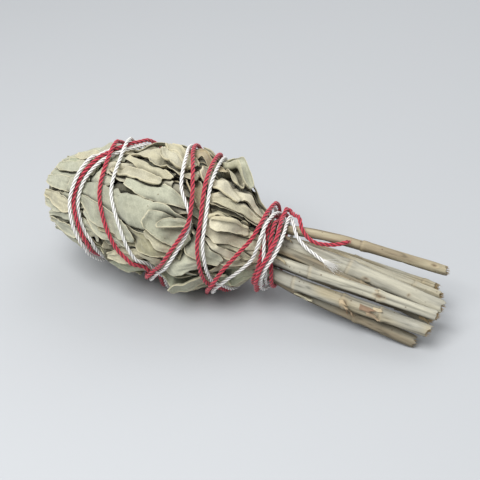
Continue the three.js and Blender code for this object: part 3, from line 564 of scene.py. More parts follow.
def make_piece(name, points, faces, finish, tint=None, edge=None, uv=None, depth=None, smooth=True):
    """A mesh piece: points in millimetres, and one array of faces or a list of arrays, each
    with a column for every corner."""
    groups = faces if isinstance(faces, list) else [faces]
    corners = np.concatenate([group.ravel() for group in groups]).astype(np.int32)
    sizes = np.concatenate([np.full(len(group), group.shape[1]) for group in groups])
    mesh = bpy.data.meshes.new(name)
    mesh.vertices.add(len(points))
    mesh.vertices.foreach_set("co", (np.asarray(points) / 1000).astype(np.float32).ravel())
    mesh.loops.add(len(corners))
    mesh.polygons.add(len(sizes))
    mesh.polygons.foreach_set("loop_start", sizes.cumsum() - sizes)
    mesh.loops.foreach_set("vertex_index", corners)
    mesh.update(calc_edges=True)
    mesh.polygons.foreach_set("use_smooth", np.full(len(sizes), smooth))
    if tint is not None:
        colours = mesh.attributes.new("tint", "FLOAT_COLOR", "POINT")
        colours.data.foreach_set("color", np.c_[tint, np.ones(len(tint))].astype(np.float32).ravel())
    for attribute, values in (("edge", edge), ("depth", depth)):
        if values is not None:
            values = np.broadcast_to(values, len(points)).astype(np.float32)
            mesh.attributes.new(attribute, "FLOAT", "POINT").data.foreach_set("value", values)
    if uv is not None:
        mesh.uv_layers.new(name="UVMap").data.foreach_set("uv", uv[corners].astype(np.float32).ravel())
    mesh.materials.append(finish)
    mesh.validate()
    piece = bpy.data.objects.new(name, mesh)
    stage.collection.objects.link(piece)
    return piece


def make_fibres(name, roots, ends, thickness, finish, rng, sag):
    """Fine loose fibres from roots to ends, each a thin three-sided strand that bends."""
    steps = 6
    t = np.linspace(0, 1, steps)[None, :, None]
    drift = rng.normal(0, 1, (len(roots), 1, 3)) * sag
    lines = roots[:, None] * (1 - t) + ends[:, None] * t + drift * np.sin(np.pi * t * 0.9)
    radius = thickness / 2 * (1 - 0.7 * t)
    corners = [lines + radius * np.array([0, math.cos(a), math.sin(a)]) for a in (0, 2.1, 4.2)]
    points = np.stack(corners, axis=2).reshape(-1, 3)
    grid = np.arange(len(points)).reshape(len(roots), steps, 3)
    beside = np.roll(grid, -1, axis=2)
    faces = np.stack([grid[:, :-1], beside[:, :-1], beside[:, 1:], grid[:, 1:]], axis=-1).reshape(-1, 4)
    return make_piece(name, points, faces, finish, depth=0.001)


def fix_to_bundle(piece, node=None):
    """Says that a piece rides on the bundle, and hides the solid it replaces."""
    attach(piece, "root")
    if node:
        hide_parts(node)


def loose_end(path, count, back, rng):
    """Where a cord ends, which way it points there, and roots for fibres round that place."""
    tail = path[-1] * 1000
    heading = tail - path[-8] * 1000
    heading /= np.linalg.norm(heading)
    return tail, heading, tail + rng.normal(0, 0.3, (count, 3)) - heading * back


TUFT_FIBRES = 260
CUT_FIBRES = 40
rng = np.random.default_rng(7)
spread = rng.normal(0, 1, (TUFT_FIBRES, 3)) * np.array([0.8, 1.2, 0.9])
tail, heading, roots = loose_end(white_path, TUFT_FIBRES, 0.6, rng)
lengths = rng.uniform(2.0, 7.0, (TUFT_FIBRES, 1))
ends = tail + heading * lengths + spread * lengths * 0.24
tuft = make_fibres("white_cord_tuft", roots, ends, 0.2, white_cotton, rng, 0.35)
tail, heading, roots = loose_end(red_path, CUT_FIBRES, 0.5, rng)
ends = roots + heading * rng.uniform(0.8, 1.9, (CUT_FIBRES, 1)) + rng.normal(0, 0.22, (CUT_FIBRES, 3))
red_ends = make_fibres("red_cord_cut_end", roots, ends, 0.18, red_cotton, rng, 0.1)

for piece, path, node, diameter, fibres in (
        (red_cord, red_path, "red_cord", RED_DIAMETER, red_ends),
        (white_cord, white_path, "white_cord", WHITE_DIAMETER, tuft)):
    fix_to_bundle(piece, node)
    fix_to_bundle(fibres)

# ---------------------------------------------------------------- leaves
# Dried white sage leaves: thin velvety blades, pale grey-green with a cream rim, dry and
# curled. They are laid stalk end to the neck and pressed down by the cords, each one
# resting on the next. Many outer leaves take the place of a solid of their own in the frame.
LEAF_THICKNESS = 0.34
LEAF_GAP = 0.2
CELL = 0.5                # the grids' step along the bundle; round it, the step is a degree
FIRST_STATION = -14
STATION_CELLS = 300
PRESSED_STATION = 118     # beyond this the cords press on no leaves
PRESS_REACH = 6.0         # how far beside a cord they are pressed down
SHADE_REACH = 5            # how many cells from under a leaf its painted shade reaches
MOST_PROUD = 4.2          # how far the curled rims may stand off the bundle's outline
CURL_PROUD = 5.5          # how much further the standing leaf does, and where
CURL_PLACE = (81, 118)

# Two grids round the bundle: how far out the next leaf may lie at each place, and which
# places have a leaf over them already.
room_station = FIRST_STATION + CELL * np.arange(STATION_CELLS)
room_angle = np.arange(360.0)
standing = CURL_PROUD * np.exp(-((room_station[:, None] - CURL_PLACE[0]) / 6) ** 2
                               - ((room_angle[None] - CURL_PLACE[1]) / 24) ** 2)
room = np.minimum(outline_at(room_station[:, None], room_angle[None]) + MOST_PROUD + standing,
                  table_radius(room_station[:, None], room_angle[None], 0.1))
covered = np.zeros_like(room)


def press_down(route):
    """Lowers the room for leaves to just under a cord, and less and less beside it."""
    knots = np.stack([route["station"], route["angle"], route["radius"] + route["lift"]], axis=1)
    fine = catmull(knots, np.linspace(0, len(knots) - 1, 3 * len(knots)))
    half_cord = route["diameter"] / 2
    for station, angle, radius in fine:
        if station > PRESSED_STATION:
            continue
        around = max(float(outline_radius(station)), 8.0)
        i = np.arange(max(0, math.ceil((station - PRESS_REACH - FIRST_STATION) / CELL)),
                      min(STATION_CELLS, int((station + PRESS_REACH - FIRST_STATION) / CELL) + 1))
        half_turn = math.degrees(PRESS_REACH / around)
        j = np.arange(math.ceil(angle - half_turn), int(angle + half_turn) + 1)
        far = np.hypot((room_station[i] - station)[:, None], np.radians(j - angle)[None] * around)
        limit = radius - half_cord - 0.1 + 0.85 * np.maximum(0, far - half_cord - 0.15)
        cells = np.ix_(i, j % 360)
        room[cells] = np.where(far < PRESS_REACH, np.minimum(room[cells], limit), room[cells])


press_down(white_route)
press_down(red_route)


def room_at(station, angle):
    """The room's height at these places, the lowest of the cells next to each."""
    i = np.clip(((station - FIRST_STATION) / CELL).astype(int), 0, STATION_CELLS - 2)
    j = np.floor(angle).astype(int)
    low = np.minimum(room[i, j % 360], room[i + 1, (j + 1) % 360])
    return np.minimum(low, np.minimum(room[i + 1, j % 360], room[i, (j + 1) % 360]))


def nearest_cell(station, angle):
    """The grids' cells nearest to these places."""
    row = np.round((station - FIRST_STATION) / CELL).astype(int)
    return np.clip(row, 0, STATION_CELLS - 1), np.round(angle).astype(int) % 360


def take_room(station, angle, height):
    """Whatever comes next has to lie below these places."""
    rows = np.linspace(0, station.shape[0] - 1, 3 * station.shape[0])
    columns = np.linspace(0, station.shape[1] - 1, 3 * station.shape[1])

    def finer(field):
        i = np.minimum(rows.astype(int), field.shape[0] - 2)
        j = np.minimum(columns.astype(int), field.shape[1] - 2)
        f, g = (rows - i)[:, None], (columns - j)[None]
        return ((1 - f) * (1 - g) * field[np.ix_(i, j)] + f * (1 - g) * field[np.ix_(i + 1, j)]
                + (1 - f) * g * field[np.ix_(i, j + 1)] + f * g * field[np.ix_(i + 1, j + 1)])

    cells = nearest_cell(finer(station), finer(angle))
    np.minimum.at(room, cells, finer(height))
    covered[cells] = 1


def painted_shade_at(station, angle):
    """How much a place is covered by, or close beside, leaves that lie on it, which sets how
    much painted shade it gets."""
    near = covered
    for _ in range(SHADE_REACH):
        beside = [np.roll(near, step, axis) for axis in (0, 1) for step in (1, -1)]
        near = (near + beside[0] + beside[1] + beside[2] + beside[3]) / 5
    return near[nearest_cell(station, angle)]


def mottle(points, size, seed):
    """Smooth random values, about -1 to 1, that change over this size in millimetres."""
    q = np.asarray(points, float) / size + seed * 17.31
    cell = np.floor(q).astype(np.int64)
    f = q - cell
    f = f * f * (3 - 2 * f)
    total = 0
    for corner in np.ndindex(*(2,) * q.shape[-1]):
        number = np.full(q.shape[:-1], 40503 * seed + 7, np.int64)
        weight = 1.0
        for axis, step in enumerate(corner):
            number = number * 1103515245 + (cell[..., axis] + step) * 668265263 + 12345
            number ^= (number >> 15) & 0x1FFFF
            weight = weight * (f[..., axis] if step else 1 - f[..., axis])
        value = ((number >> 7) & 0xFFFF) / 32767.5 - 1
        total = total + weight * value
    return total


def smooth_step(x):
    """Eases from 0 to 1, and stays there."""
    x = np.clip(x, 0, 1)
    return x * x * (3 - 2 * x)


def blur(field, passes, ceiling=None):
    """Evens a height field out, never above its ceiling."""
    for _ in range(passes):
        wide = np.pad(field, 1, mode="edge")
        field = (wide[:-2, 1:-1] + wide[2:, 1:-1] + wide[1:-1, :-2] + wide[1:-1, 2:] + field) / 5
        if ceiling is not None:
            field = np.minimum(field, ceiling)
    return field


COLOURS = {
    "grey": (0.395, 0.398, 0.302), "pale": (0.425, 0.425, 0.325), "tan": (0.46, 0.43, 0.305),
    "olive": (0.30, 0.28, 0.18), "cream": (0.47, 0.445, 0.335), "brown": (0.36, 0.30, 0.19),
    "green": (0.37, 0.385, 0.275), "sage": (0.36, 0.363, 0.275), "straw": (0.57, 0.53, 0.395),
}
# A leaf, unless its own style says otherwise: its colour; how far it lies off the outline;
# the degrees by which its upper and lower rims turn up, and how far across they begin to;
# the degrees by which its tip and stalk end curl; its sideways bend, waves, pleats and
# midrib; how thin its ends and how blunt its shape; notches, creases, buckles, torn rims.
PLAIN_LEAF = {
    "tint": "grey", "level": 0.9, "top": 35, "low": 25, "from_top": 0.55, "from_low": 0.55, "tip": 10,
    "stalk": 0, "bend": 0.0, "waves": 0.14, "pleats": 0.42, "rib": 0.4, "blunt": 0.6,
    "notches": (), "drop": 0.0, "thin": 0.14, "creases": (), "buckle": 0.45, "torn": 1.0,
    "columns": 23, "rows": None,
}
ROW_SPACING = 0.95        # along a leaf, where its style names no number of rows


def close_sheet(top, under):
    """Two equal grids of points as one closed skin: points and quads."""
    rows, columns = top.shape[:2]
    n = rows * columns
    grid = np.arange(n).reshape(rows, columns)
    quads = np.stack([grid[:-1, :-1], grid[1:, :-1], grid[1:, 1:], grid[:-1, 1:]], -1).reshape(-1, 4)
    rim = np.concatenate([grid[:, 0], grid[-1, 1:], grid[-2::-1, -1], grid[0, -2:0:-1]])
    after = np.roll(rim, -1)
    wall = np.stack([rim, rim + n, after + n, after], -1)
    return (np.concatenate([top.reshape(-1, 3), under.reshape(-1, 3)]),
            np.concatenate([quads, quads[:, ::-1] + n, wall]))


def build_leaf(stalk, tip, width, style, seed):
    """One dried leaf from its stalk end to its tip, both [station, angle], as two skins
    with a rim between them. Its rims turn up or down by degrees, it bends under what lies
    on it, and then takes the room it fills. Returns points, faces, tints, edges, uvs."""
    how = {**PLAIN_LEAF, **style}
    middle = float(outline_radius((stalk[0] + tip[0]) / 2))
    run = np.array([tip[0] - stalk[0], math.radians(tip[1] - stalk[1]) * middle])
    length = np.linalg.norm(run)
    run /= length
    aside = np.array([-run[1], run[0]])
    if aside[1] > 0:
        aside = -aside
    rows, columns = how["rows"] or int(length / ROW_SPACING) + 8, how["columns"]
    u = np.linspace(0, 1, rows)[:, None] * np.ones((1, columns))
    v = np.linspace(-1, 1, columns)[None] * np.ones((rows, 1))
    here = np.stack([u * length, v * width / 2], axis=-1)

    def by_side(apart, size, number):
        """Random values along the leaf, of their own on each side of it."""
        return mottle(np.stack([u * length, np.sign(v) * apart], -1), size, seed + number)

    # The outline: a thin stalk, widest in the middle, uneven rims with a notch or two.
    bulge = np.sin(np.pi * np.clip(0.03 + 0.945 * u, 0, 1)) ** how["blunt"]
    shape = how["thin"] + (1 - how["thin"]) * bulge
    uneven = 1 + 0.15 * by_side(40, 5.5, 0) + 0.06 * by_side(40, 1.5, 1)
    uneven = uneven - 0.2 * how["torn"] * smooth_step((by_side(55, 2.6, 10) - 0.5) / 0.3)
    half = 0.5 * width * shape * uneven
    for side, place, wide, deep in how["notches"]:
        near = np.clip(1 - np.abs(u - place) / wide, 0, 1)
        half = np.where(np.sign(v) == side, half * (1 - deep * near ** 0.6), half)

    # The cross-section: each rim turns up (or down) by an angle beyond its start.
    vary = 1 + 0.35 * by_side(90, 11.0, 2)
    turn_top = np.radians(how["top"]) * smooth_step((-v - how["from_top"]) / (1.001 - how["from_top"]))
    turn_low = np.radians(how["low"]) * smooth_step((v - how["from_low"]) / (1.001 - how["from_low"]))
    heading = (turn_top + turn_low) * vary
    for line, degrees in how["creases"]:
        sideways = line + 0.12 * mottle(np.stack([u * length, 0 * u], -1), 9.0, seed + 11)
        past = smooth_step((v - sideways) * np.sign(line) / 0.1)
        heading = heading + math.radians(degrees) * np.sign(v) * past
    step = half * 2 / (columns - 1)
    across, rise = np.zeros_like(u), np.zeros_like(u)
    centre = columns // 2
    for j in range(1, centre + 1):
        for a, b, sign in ((centre + j - 1, centre + j, 1), (centre - j + 1, centre - j, -1)):
            mean = 0.5 * (heading[:, a] + heading[:, b])
            across[:, b] = across[:, a] + sign * np.cos(mean) * step[:, b]
            rise[:, b] = rise[:, a] + np.sin(mean) * step[:, b]

    # Along its length it waves a little, and its tip and stalk end may curl up.
    pitch = np.radians(how["tip"]) * smooth_step((u - 0.72) / 0.28) \
        - np.radians(how["stalk"]) * smooth_step((0.3 - u) / 0.3) \
        + how["waves"] * np.sin(2 * np.pi * (u * length / 17 + 0.37 * seed))
    stride = length / (rows - 1)
    forward = np.cumsum(np.cos(pitch), axis=0) * stride
    forward -= forward[:1]
    lift = np.cumsum(np.sin(pitch), axis=0) * stride
    lift -= lift[:1]
    ahead = forward - rise * np.sin(pitch)
    up = rise * np.cos(pitch)

    # Pleats along the blade, fine crumples, and the groove of the midrib.
    pleat = 1 - 2 * np.abs(mottle(here / np.array([9.0, 1.0]), 2.3, seed + 3))
    up = up + how["pleats"] * (pleat - 0.5) * (0.35 + 0.65 * np.abs(v))
    wrinkle = 1 - 2 * np.abs(mottle(here / np.array([1.6, 1.0]), 2.6, seed + 12))
    up = up + 0.30 * how["buckle"] * wrinkle + 0.17 * mottle(here, 1.7, seed + 4)
    up = up + how["buckle"] * mottle(here, 6.0, seed + 13)
    up = up - how["rib"] * np.exp(-(across / 0.75) ** 2) * (1 - 0.5 * u)
    up = up + 0.8 * by_side(70, 3.2, 5) * np.abs(v) ** 3

    # Laid on the bundle, and pressed down to the room there is.
    bow = how["bend"] * np.sin(np.pi * u)
    station = stalk[0] + ahead * run[0] + (across + bow) * aside[0]
    arc = ahead * run[1] + (across + bow) * aside[1]
    local = np.maximum(outline_radius(station), 9)
    angle = stalk[1] + np.degrees(arc / (0.5 * (middle + local)))

    ceiling = room_at(station, angle)
    level = outline_at(station, angle) + how["level"] + 0.5 * mottle(here, 13.0, seed + 6)
    rest = np.minimum(ceiling, level)
    lying = blur(rest, 10, rest) - how["drop"]
    relief = up - blur(np.max(up, axis=1, keepdims=True) * np.ones_like(up), 3)
    swing = lift - lift.mean()
    height = np.minimum(lying + relief + np.clip(swing, -1.5, 3.0), ceiling)

    top = bundle_point(station, angle, height)
    normal = np.cross(np.gradient(top, axis=0), np.gradient(top, axis=1))
    normal /= np.linalg.norm(normal, axis=-1, keepdims=True) + 1e-9
    taper = np.clip(0.45 + 0.55 * (1 - np.abs(v)) * 6, 0, 1)[..., None]
    under = top - normal * LEAF_THICKNESS * taper
    painted_shade = painted_shade_at(station, angle)[..., None]
    take_room(station, angle, height - LEAF_THICKNESS - LEAF_GAP)
    points, faces = close_sheet(top, under)

    # Its colour: blotched, browned in places, and darkened with painted shade where other leaves lie over
    # it or close beside it.
    colour = np.array(COLOURS[how["tint"]])
    blotch = mottle(top, 6.5, seed + 7)[..., None]
    fine = mottle(top, 2.1, seed + 8)[..., None]
    tint = colour * (1 + 0.09 * blotch + 0.06 * fine)
    dry = smooth_step((mottle(top, 8.0, seed + 9) - 0.25) / 0.6)[..., None] * 0.35
    tint = tint * (1 - dry) + np.array(COLOURS["tan"]) * 0.92 * dry
    # Painted shade: darker under and beside the leaves that lie over this one.
    tint = tint * (1 - 0.55 * smooth_step(painted_shade * 1.25))
    tint = np.concatenate([tint.reshape(-1, 3), tint.reshape(-1, 3) * np.array([0.93, 0.90, 0.82])])
    edge = np.minimum(half * (1 - np.abs(v)), (1 - u) * length * 0.8)
    edge = np.concatenate([edge.ravel(), edge.ravel()])
    uv = np.stack([u * length, across], -1).reshape(-1, 2) / 100 + 0.5
    return points, faces, tint, edge, np.concatenate([uv, uv])


def join_sheets(parts):
    """Several sheets as one: their points, then their faces, then whatever goes with each
    point."""
    starts = np.cumsum([0] + [len(part[0]) for part in parts])
    joined = [np.concatenate(columns) for columns in zip(*parts)]
    joined[1] = np.concatenate([part[1] + start for part, start in zip(parts, starts)])
    return joined


def tone(tree, colour, value, low, high):
    """A colour made darker or lighter where a cloudy pattern is low or high."""
    return vector_maths(tree, "SCALE", colour, ramp(tree, value, 0.3, 0.7, low, high))


def stretched(tree, where, scale):
    """These places, drawn out or together along each axis."""
    return add_node(tree, "ShaderNodeMapping", {"Vector": where, "Scale": scale}).outputs[0]


def speckle(tree, colour, where, scale, size, rare, dark):
    """Dark specks in a few cells of a random pattern: the size at which each one starts to
    fade and has faded, and how rare and how strong they are."""
    cells = add_node(tree, "ShaderNodeTexVoronoi", {"Vector": where, "Scale": scale}).outputs
    chosen = add_node(tree, "ShaderNodeSeparateColor", {0: cells["Color"]}).outputs[0]
    amount = maths(tree, "MULTIPLY", ramp(tree, cells["Distance"], *size, 1.0, 0.0),
                   ramp(tree, chosen, *rare))
    return blend(tree, "MIX", amount, colour, dark)


def leaf_finish(name, shade, rim_colour):
    """Velvety dried leaf: its own tint, a cream rim, thin branching veins, brown specks
    and a fine nap. A shade below 1 darkens it all over as painted shade."""
    finish, tree = make_finish(name, 0.88, 0.18, 0.12)
    where = add_node(tree, "ShaderNodeTexCoord").outputs
    nap = noise(tree, where["Object"], 1500, 4, 0.65)
    colour = tone(tree, stored(tree, "tint", "Color"), nap, 0.86 * shade, 1.12 * shade)
    colour = tone(tree, colour, noise(tree, where["Object"], 260, 3), 0.92, 1.07)

    bands = {"Vector": stretched(tree, where["UV"], (1.0, 0.8, 1.0)), "Scale": 17.0, "Distortion": 5.0,
             "Detail": 2, "Detail Scale": 1.5}
    veins = add_node(tree, "ShaderNodeTexWave", bands, wave_type="BANDS", bands_direction="DIAGONAL")
    vein = ramp(tree, veins.outputs["Fac"], 0.86, 1.0, 0.0, 1.0)
    colour = blend(tree, "MIX", maths(tree, "MULTIPLY", vein, 0.14), colour, (0.62, 0.60, 0.46, 1))

    ragged = ramp(tree, noise(tree, where["Object"], 700, 2), 0.3, 0.7, 0.0, 0.30)
    inside = maths(tree, "SUBTRACT", stored(tree, "edge"), ragged)
    rim = ramp(tree, inside, 0.0, 0.30, 0.62, 0.0)
    colour = blend(tree, "MIX", rim, colour, (*rim_colour, 1))
    colour = speckle(tree, colour, where["Object"], 330, (0.07, 0.14), (0.86, 0.88, 0.0, 0.8),
                     (0.13, 0.095, 0.05, 1))
    height = maths(tree, "ADD", nap, maths(tree, "MULTIPLY", vein, 0.8))
    coat(tree, colour, height, 0.55, 0.00016)
    return finish


leaf_velvet = leaf_finish("leaf_velvet", 1.0, (0.66, 0.60, 0.42))


def solid_points(name):
    """The corners of a piece's solid, in millimetres."""
    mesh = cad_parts[name].data
    corners = np.zeros(len(mesh.vertices) * 3)
    mesh.vertices.foreach_get("co", corners)
    return corners.reshape(-1, 3) * 1000


def node_place(name):
    """Where a leaf's solid lies: stalk end, tip, width and sideways bend."""
    x, y, z = (solid_points(name) - AXIS_START).T
    run = x * math.cos(AXIS_FALL) - z * math.sin(AXIS_FALL)
    station = run.copy()
    for _ in range(3):
        station = run + along(OUTLINE, station, 2) * math.sin(AXIS_FALL)
    up = x * math.sin(AXIS_FALL) + (z - along(OUTLINE, station, 2)) * math.cos(AXIS_FALL)
    angle = np.arctan2(up, -y)
    mean = math.atan2(np.sin(angle).mean(), np.cos(angle).mean())
    angle = mean + (angle - mean + np.pi) % (2 * np.pi) - np.pi
    middle = float(outline_radius(station.mean()))
    flat = np.stack([station, angle * 0.5 * (middle + np.maximum(outline_radius(station), 10))], 1)
    centre = flat.mean(0)
    _, _, axes = np.linalg.svd(flat - centre, full_matrices=False)
    main = axes[0] if axes[0][0] < 0 else -axes[0]
    side = np.array([-main[1], main[0]])
    if side[1] > 0:
        side = -side
    t, q = (flat - centre) @ main, (flat - centre) @ side
    span = t.max() - t.min()
    first, last = q[t < t.min() + 0.08 * span].mean(), q[t > t.max() - 0.08 * span].mean()
    belly = q[np.abs(t - t.min() - span / 2) < 0.12 * span].mean()
    stalk, tip = centre + main * t.min() + side * first, centre + main * t.max() + side * last
    bins = np.clip(((t - t.min()) / span * 8).astype(int), 0, 7)
    width = max(q[bins == k].max() - q[bins == k].min() for k in range(8) if (bins == k).any())
    ends = [(at, math.degrees(arc / (0.5 * (middle + max(float(outline_radius(at)), 10)))))
            for at, arc in (stalk, tip)]
    return *ends, width, belly - 0.5 * (first + last)


def lay_named_leaf(node, style, seed):
    """A fine leaf in the place of a leaf's solid, or where its style says."""
    stalk, tip, width, bend = (*style["lies"], 0.0) if "lies" in style else node_place(node)
    width = width * style.get("widen", 1.0)
    points, faces, tint, edge, uv = build_leaf(stalk, tip, width, {"bend": bend, **style}, seed)
    piece = make_piece(node + "_blade", points, faces, leaf_velvet, tint, edge, uv)
    fix_to_bundle(piece, None if "lies" in style else node)


